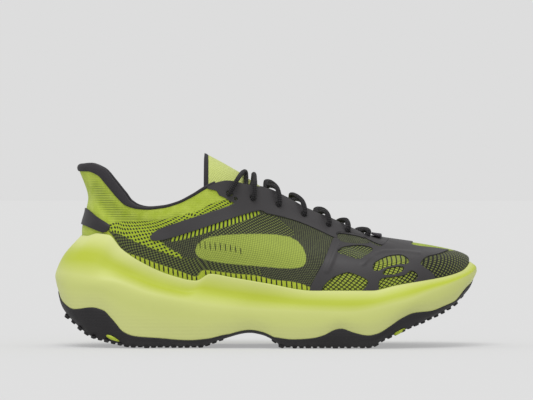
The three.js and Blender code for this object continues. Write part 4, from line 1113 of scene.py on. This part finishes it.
profile = rows_through(keys, np.linspace(0, len(keys) - 1, 70)[:, None] * np.ones(COLLAR_COLUMNS))
collar_rows = np.concatenate([profile, np.stack(back_keys)])
rows = len(collar_rows)
collar_faces = sheet_faces(rows, COLLAR_COLUMNS)
collar_faces += [((rows - 1) * COLLAR_COLUMNS + j, (rows - 1) * COLLAR_COLUMNS + j + 1, j + 1,
    j) for j in range(COLLAR_COLUMNS - 1)]
for column in (0, COLLAR_COLUMNS - 1):
    collar_faces.append([i * COLLAR_COLUMNS + column for i in range(rows)])
collar = tidied(solid("padded_collar", collar_rows, collar_faces, lining))
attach(collar, "shoe")
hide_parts("collar_lining", "collar_foam")


# ======== Tongue ========
# A knit strip sewn in at the base of the throat, padded at its top, with a dark binding on its end.
tongue_ridge = curve_through([
    (109, 141.7), (121, 135.4), (135, 127.4), (154, 115.6), (170, 107.5), (185, 98.5), (200, 89.5), (215, 82),
    (230, 76.5), (243, 73.5), (250, 73)])
tongue_half = curve_through([(109, 22), (125, 22.5), (140, 22.5), (170, 22), (200, 20), (225, 17), (250, 14)])
tongue_drop = curve_through([(109, 23), (140, 17), (170, 13), (200, 9), (225, 6), (250, 3)])
tongue_thickness = curve_through([(109, 6.6), (125, 6.8), (134, 5.5), (140, 3.0), (160, 2.5), (250, 2.4)])


def on_tongue(station, across, depth):
    """A point of the tongue: across is -1 to 1 from edge to edge, depth in metres under its top face."""
    station, across = np.broadcast_arrays(np.asarray(station, float), np.asarray(across, float))
    top = up_z(tongue_ridge(station) - tongue_drop(station) * across ** 2)
    return np.stack([along_x(station), across_y(tongue_half(station)) * across, top - depth], -1)


tongue_cloth = Finish("tongue_cloth", Sheen_Weight=0.2, Specular_IOR_Level=0.3)
x, y, z = tongue_cloth.place()
fine = tongue_cloth.noise(0.0008, 3)
under = tongue_cloth.stored("under").over(0.5, 0.1)
tongue_lime = tongue_cloth.mix(fine, paint(184, 196, 96), paint(204, 212, 136))
tongue_cloth.fill(tongue_cloth.shader, {
    "Base Color": tongue_cloth.mix(under, tongue_lime, paint(52, 49, 54)), "Roughness": fine * 0.2 + 0.6})
tongue_cloth.relief(x.sine(0.0014) * y.sine(0.0014) + fine * 0.5, 0.0003, 0.5)
TONGUE_ROWS, TONGUE_COLUMNS = 90, 41
stations = np.linspace(250, 112.2, TONGUE_ROWS)[:, None]
shares = np.linspace(-1, 1, TONGUE_COLUMNS)[None, :]
thickness = tongue_thickness(stations) * (0.35 + 0.65 * (1 - shares ** 4)) * MM
crown = 0.6 * MM * (1 - shares ** 2) * (stations < 138)
tongue_top = on_tongue(stations, shares, -crown)
tongue_under = on_tongue(stations, shares, thickness)
count = TONGUE_ROWS * TONGUE_COLUMNS
tongue_faces = sheet_faces(TONGUE_ROWS, TONGUE_COLUMNS)
tongue_faces += [tuple(count + i for i in reversed(face)) for face in tongue_faces]
edge = ([j for j in range(TONGUE_COLUMNS)] + [i * TONGUE_COLUMNS + TONGUE_COLUMNS - 1 for i in range(1,
    TONGUE_ROWS)]
        + [(TONGUE_ROWS - 1) * TONGUE_COLUMNS + j for j in range(TONGUE_COLUMNS - 2, -1, -1)]
        + [i * TONGUE_COLUMNS for i in range(TONGUE_ROWS - 2, 0, -1)])
tongue_faces += [(a, b, count + b, count + a) for a, b in zip(edge, edge[1:] + edge[:1])]
tongue = tidied(solid("tongue", np.concatenate([tongue_top.reshape(-1, 3), tongue_under.reshape(-1, 3)]),
    tongue_faces,
                      tongue_cloth, {"under": np.repeat([0.0, 1.0], count)}))
tuple(on_tongue(138, 0, 0))
tuple(on_tongue(130, 0, 0))
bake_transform(tongue)
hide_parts("tongue_blade_cloth", "tongue_blade_lining", "tongue_top_cloth", "tongue_top_foam",
    "tongue_top_lining")

binding_stations = np.array([112.6, 112.4, 111, 109.4, 109, 109.4, 111, 112.4, 112.6])
binding_depths = np.array([0.2, -0.5, -0.9, -0.6, 3.2, 7.2, 7.6, 7.3, 6.4]) * MM
binding_shares = np.linspace(-1.02, 1.02, 61)
binding_points = np.stack([on_tongue(binding_stations, share,
    binding_depths * (0.55 + 0.45 * (1 - share ** 4)))
                           for share in binding_shares])
section = len(binding_stations)
binding_faces = [(i * section + j, (i + 1) * section + j, (i + 1) * section + (j + 1) % section,
    i * section + (j + 1) % section)
                 for i in range(len(binding_shares) - 1) for j in range(section)]
binding_faces += [list(range(section)), [(len(binding_shares) - 1) * section + j for j in range(section)]]
binding = tidied(solid("tongue_binding", binding_points, binding_faces, lining))
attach(binding, "tongue_top")
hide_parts("tongue_end_binding")


# ======== Lace ========
# One round braided cord: out of each eyelet, over the tongue and in under the opposite edge, with both
# ends tucked behind the top of the throat and tipped with plastic.
LACE = 3.4 * MM
LACE_CLEARANCE = 0.6 * MM
CROSSING_STATIONS = [145.5, 154.5, 173, 191, 207, 221]
OVER_FILM = 0.9 * MM + LACE / 2 + LACE_CLEARANCE
UNDER_UPPER = -(1.8 * MM + LACE / 2 + LACE_CLEARANCE)
OVER_TONGUE = LACE / 2 + 0.3 * MM
STRAND_STEP = LACE + 0.3 * MM
SLACK = 1.0 * MM


def part_way(a, b, share):
    return a + (b - a) * share


def outside_eyelet(i, side):
    return by_edge(EYELETS[i][0], side, EYELETS[i][1] * MM, OVER_FILM)


def inside_eyelet(i, side):
    return by_edge(EYELETS[i][0], side, EYELETS[i][1] * MM, UNDER_UPPER)


def crossing(i, side, height):
    here, there, middle = EYELETS[i][0], EYELETS[i + 1][0], CROSSING_STATIONS[i]
    return [
        inside_eyelet(i, side), by_edge(part_way(here, middle, 0.85), side, 1.5 * MM, UNDER_UPPER),
        on_tongue(part_way(here, middle, 0.95), side * -0.5, -(OVER_TONGUE + SLACK)),
        on_tongue(middle, 0, -(OVER_TONGUE + height)),
        by_edge(part_way(middle, there, 0.7), -side, 1 * MM, OVER_FILM + SLACK), outside_eyelet(i + 1, -side)]


def tucked_end(side, height):
    return [
        by_edge(132, side, 1 * MM, OVER_FILM + SLACK), on_tongue(139.5, 0, -(OVER_TONGUE + height)),
        on_tongue(140, side * 0.6, -(OVER_TONGUE + SLACK)),
        by_edge(141, -side, 9 * MM, UNDER_UPPER), by_edge(142, -side, 17 * MM, UNDER_UPPER - SLACK)]


route = tucked_end(1, 0.45 * STRAND_STEP)[::-1] + [outside_eyelet(0, 1)]
side = 1
last = len(EYELETS) - 1
for i in range(last):
    route += crossing(i, side, 0)
    side = -side
route.append(inside_eyelet(last, side))
route += [on_tongue(EYELETS[last][0], side * share, -OVER_TONGUE) for share in (-0.75, -0.3, 0.3, 0.75)]
side = -side
route += [inside_eyelet(last, side), outside_eyelet(last, side)]
for i in range(last, 0, -1):
    route += crossing(i - 1, -side, STRAND_STEP)[::-1][1:]
    side = -side
    route.append(outside_eyelet(i - 1, side))
route += tucked_end(-1, 0)


def eased_path(points, steps):
    """A smooth path through points, evenly stepped between each pair (centripetal)."""
    points = np.array(points, float)
    points = np.concatenate([[2 * points[0] - points[1]], points, [2 * points[-1] - points[-2]]])
    out = []
    for a, b, c, d in zip(points, points[1:], points[2:], points[3:]):
        knots = np.cumsum([0] + [max(np.linalg.norm(q - p), 1e-6) ** 0.5 for p,
            q in ((a, b), (b, c), (c, d))])
        for t in knots[1] + (knots[2] - knots[1]) * np.arange(steps) / steps:
            row = [a, b, c, d]
            for reach in (1, 2, 3):
                row = [(row[i] * (knots[i + reach] - t) + row[i + 1] * (t - knots[i])) / (knots[i + reach] - knots[i])
                       for i in range(len(row) - 1)]
            out.append(row[0])
    out.append(points[-2])
    return np.array(out)


def cord(name, path, radius, sides, finish):
    """A round cord along a path, with `turn` round it and `reach` along it stored for its braid."""
    forward = np.gradient(path, axis=0)
    forward /= np.linalg.norm(forward, axis=1, keepdims=True)
    normal = np.cross(forward[0], [0.3, 0.2, 1])
    points, turns, reaches = [], [], []
    reach = np.concatenate([[0], np.cumsum(np.linalg.norm(np.diff(path, axis=0), axis=1))])
    for place, ahead, so_far in zip(path, forward, reach):
        normal = normal - ahead * (normal @ ahead)
        normal /= np.linalg.norm(normal)
        other = np.cross(ahead, normal)
        for corner in range(sides):
            angle = TURN * corner / sides
            points.append(place + radius * (math.cos(angle) * normal + math.sin(angle) * other))
            turns.append(min(corner, sides - corner) / sides * TURN)
            reaches.append(so_far / MM)
    faces = sheet_faces(len(path), sides, ring=True)
    faces += [list(range(sides)), list(range(len(points) - sides, len(points)))]
    return tidied(solid(name, points, faces, finish, {"turn": turns, "reach": reaches}), 1e-6)


braid = Finish("braided_lace", Roughness=0.8, Sheen_Weight=0.05, Specular_IOR_Level=0.25)
turn, reach = braid.stored("turn"), braid.stored("reach")
plait = (turn * 0.8 + reach * 0.5).sine(1.3) * (turn * 0.8 - reach * 0.5).sine(1.3)
braid.fill(braid.shader,
    {"Base Color": braid.mix(plait.over(0.0, 0.8), paint(18, 17, 19), paint(44, 42, 44))})
braid.relief(plait, 0.0004, 0.8)
lace = cord("lace_cord", eased_path(route, 9), LACE / 2, 12, braid)
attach(lace, "shoe")
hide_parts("lace")
tip_plastic = Finish("lace_tip_plastic", Roughness=0.25)
tip_plastic.fill(tip_plastic.shader,
    {"Base Color": tip_plastic.mix(tip_plastic.noise(0.002), paint(30, 29, 31), paint(44, 42, 45))})
webbing = Finish("tab_webbing", Roughness=0.8, Specular_IOR_Level=0.25)
x, y, z = webbing.place()
webbing_weave = x.sine(0.0012) * y.sine(0.0018)
webbing.fill(webbing.shader,
    {"Base Color": webbing.mix(webbing_weave.over(0, 1), paint(52, 49, 54), paint(74, 70, 76))})
webbing.relief(webbing_weave, 0.0003)
for node, finish in (("aglet_first", tip_plastic), ("aglet_second", tip_plastic), ("throat_tab", webbing)):
    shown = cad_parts[node]
    shown.data.materials.clear()
    shown.data.materials.append(finish.material)


# ======== Foam showing through the tread ========
# Two short slots on each side of the rubber let the lime foam show.
tread_foam = Finish("tread_slot_foam", Roughness=0.5)
tread_foam.fill(tread_foam.shader,
    {"Base Color": tread_foam.mix(tread_foam.noise(0.004), paint(176, 196, 50), paint(196, 210, 66))})
wall = np.concatenate([tread_ring[None], wall_rows])
for number, (station, height, long, wide, lean) in enumerate([(43.2, 7.2, 10.5, 2.6, -24),
    (251.8, 12.4, 9.5, 2.4, 30)]):
    for side, name in ((-1, "lateral"), (1, "medial")):
        flat = [(math.cos(a) * long / 2 * MM,
            math.sin(a) * wide / 2 * MM * (1 - 0.3 * math.cos(a))) for a in np.arange(24) / 24 * TURN]
        lean_by = math.radians(lean)
        outline = [(float(along_x(station)) + p * math.cos(lean_by) - q * math.sin(lean_by),
                    float(up_z(height)) + p * math.sin(lean_by) + q * math.cos(lean_by)) for p, q in flat]
        own = wall[:, ring_angles < math.pi] if side < 0 else wall[:, ring_angles > math.pi]
        points = []
        for depth in (-0.6 * MM, 0.5 * MM):
            for px, pz in outline + [(float(along_x(station)), float(up_z(height)))]:
                row, column = np.unravel_index(np.argmin((own[..., 0] - px) ** 2 + (own[..., 2] - pz) ** 2),
                    own.shape[:2])
                extra = 0.25 * MM if depth > 0 and (px, pz) not in outline else 0
                points.append((px, float(own[row, column, 1]) + side * (depth + extra), pz))
        n = len(outline)
        faces = [(i, (i + 1) % n, n + 1 + (i + 1) % n, n + 1 + i) for i in range(n)]
        faces += [(n, (i + 1) % n, i) for i in range(n)] + [(2 * n + 1, n + 1 + i,
            n + 1 + (i + 1) % n) for i in range(n)]
        slot_foam = tidied(solid(f"tread_foam_{number}_{name}", points, faces, tread_foam), 1e-6)
        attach(slot_foam, "shoe")
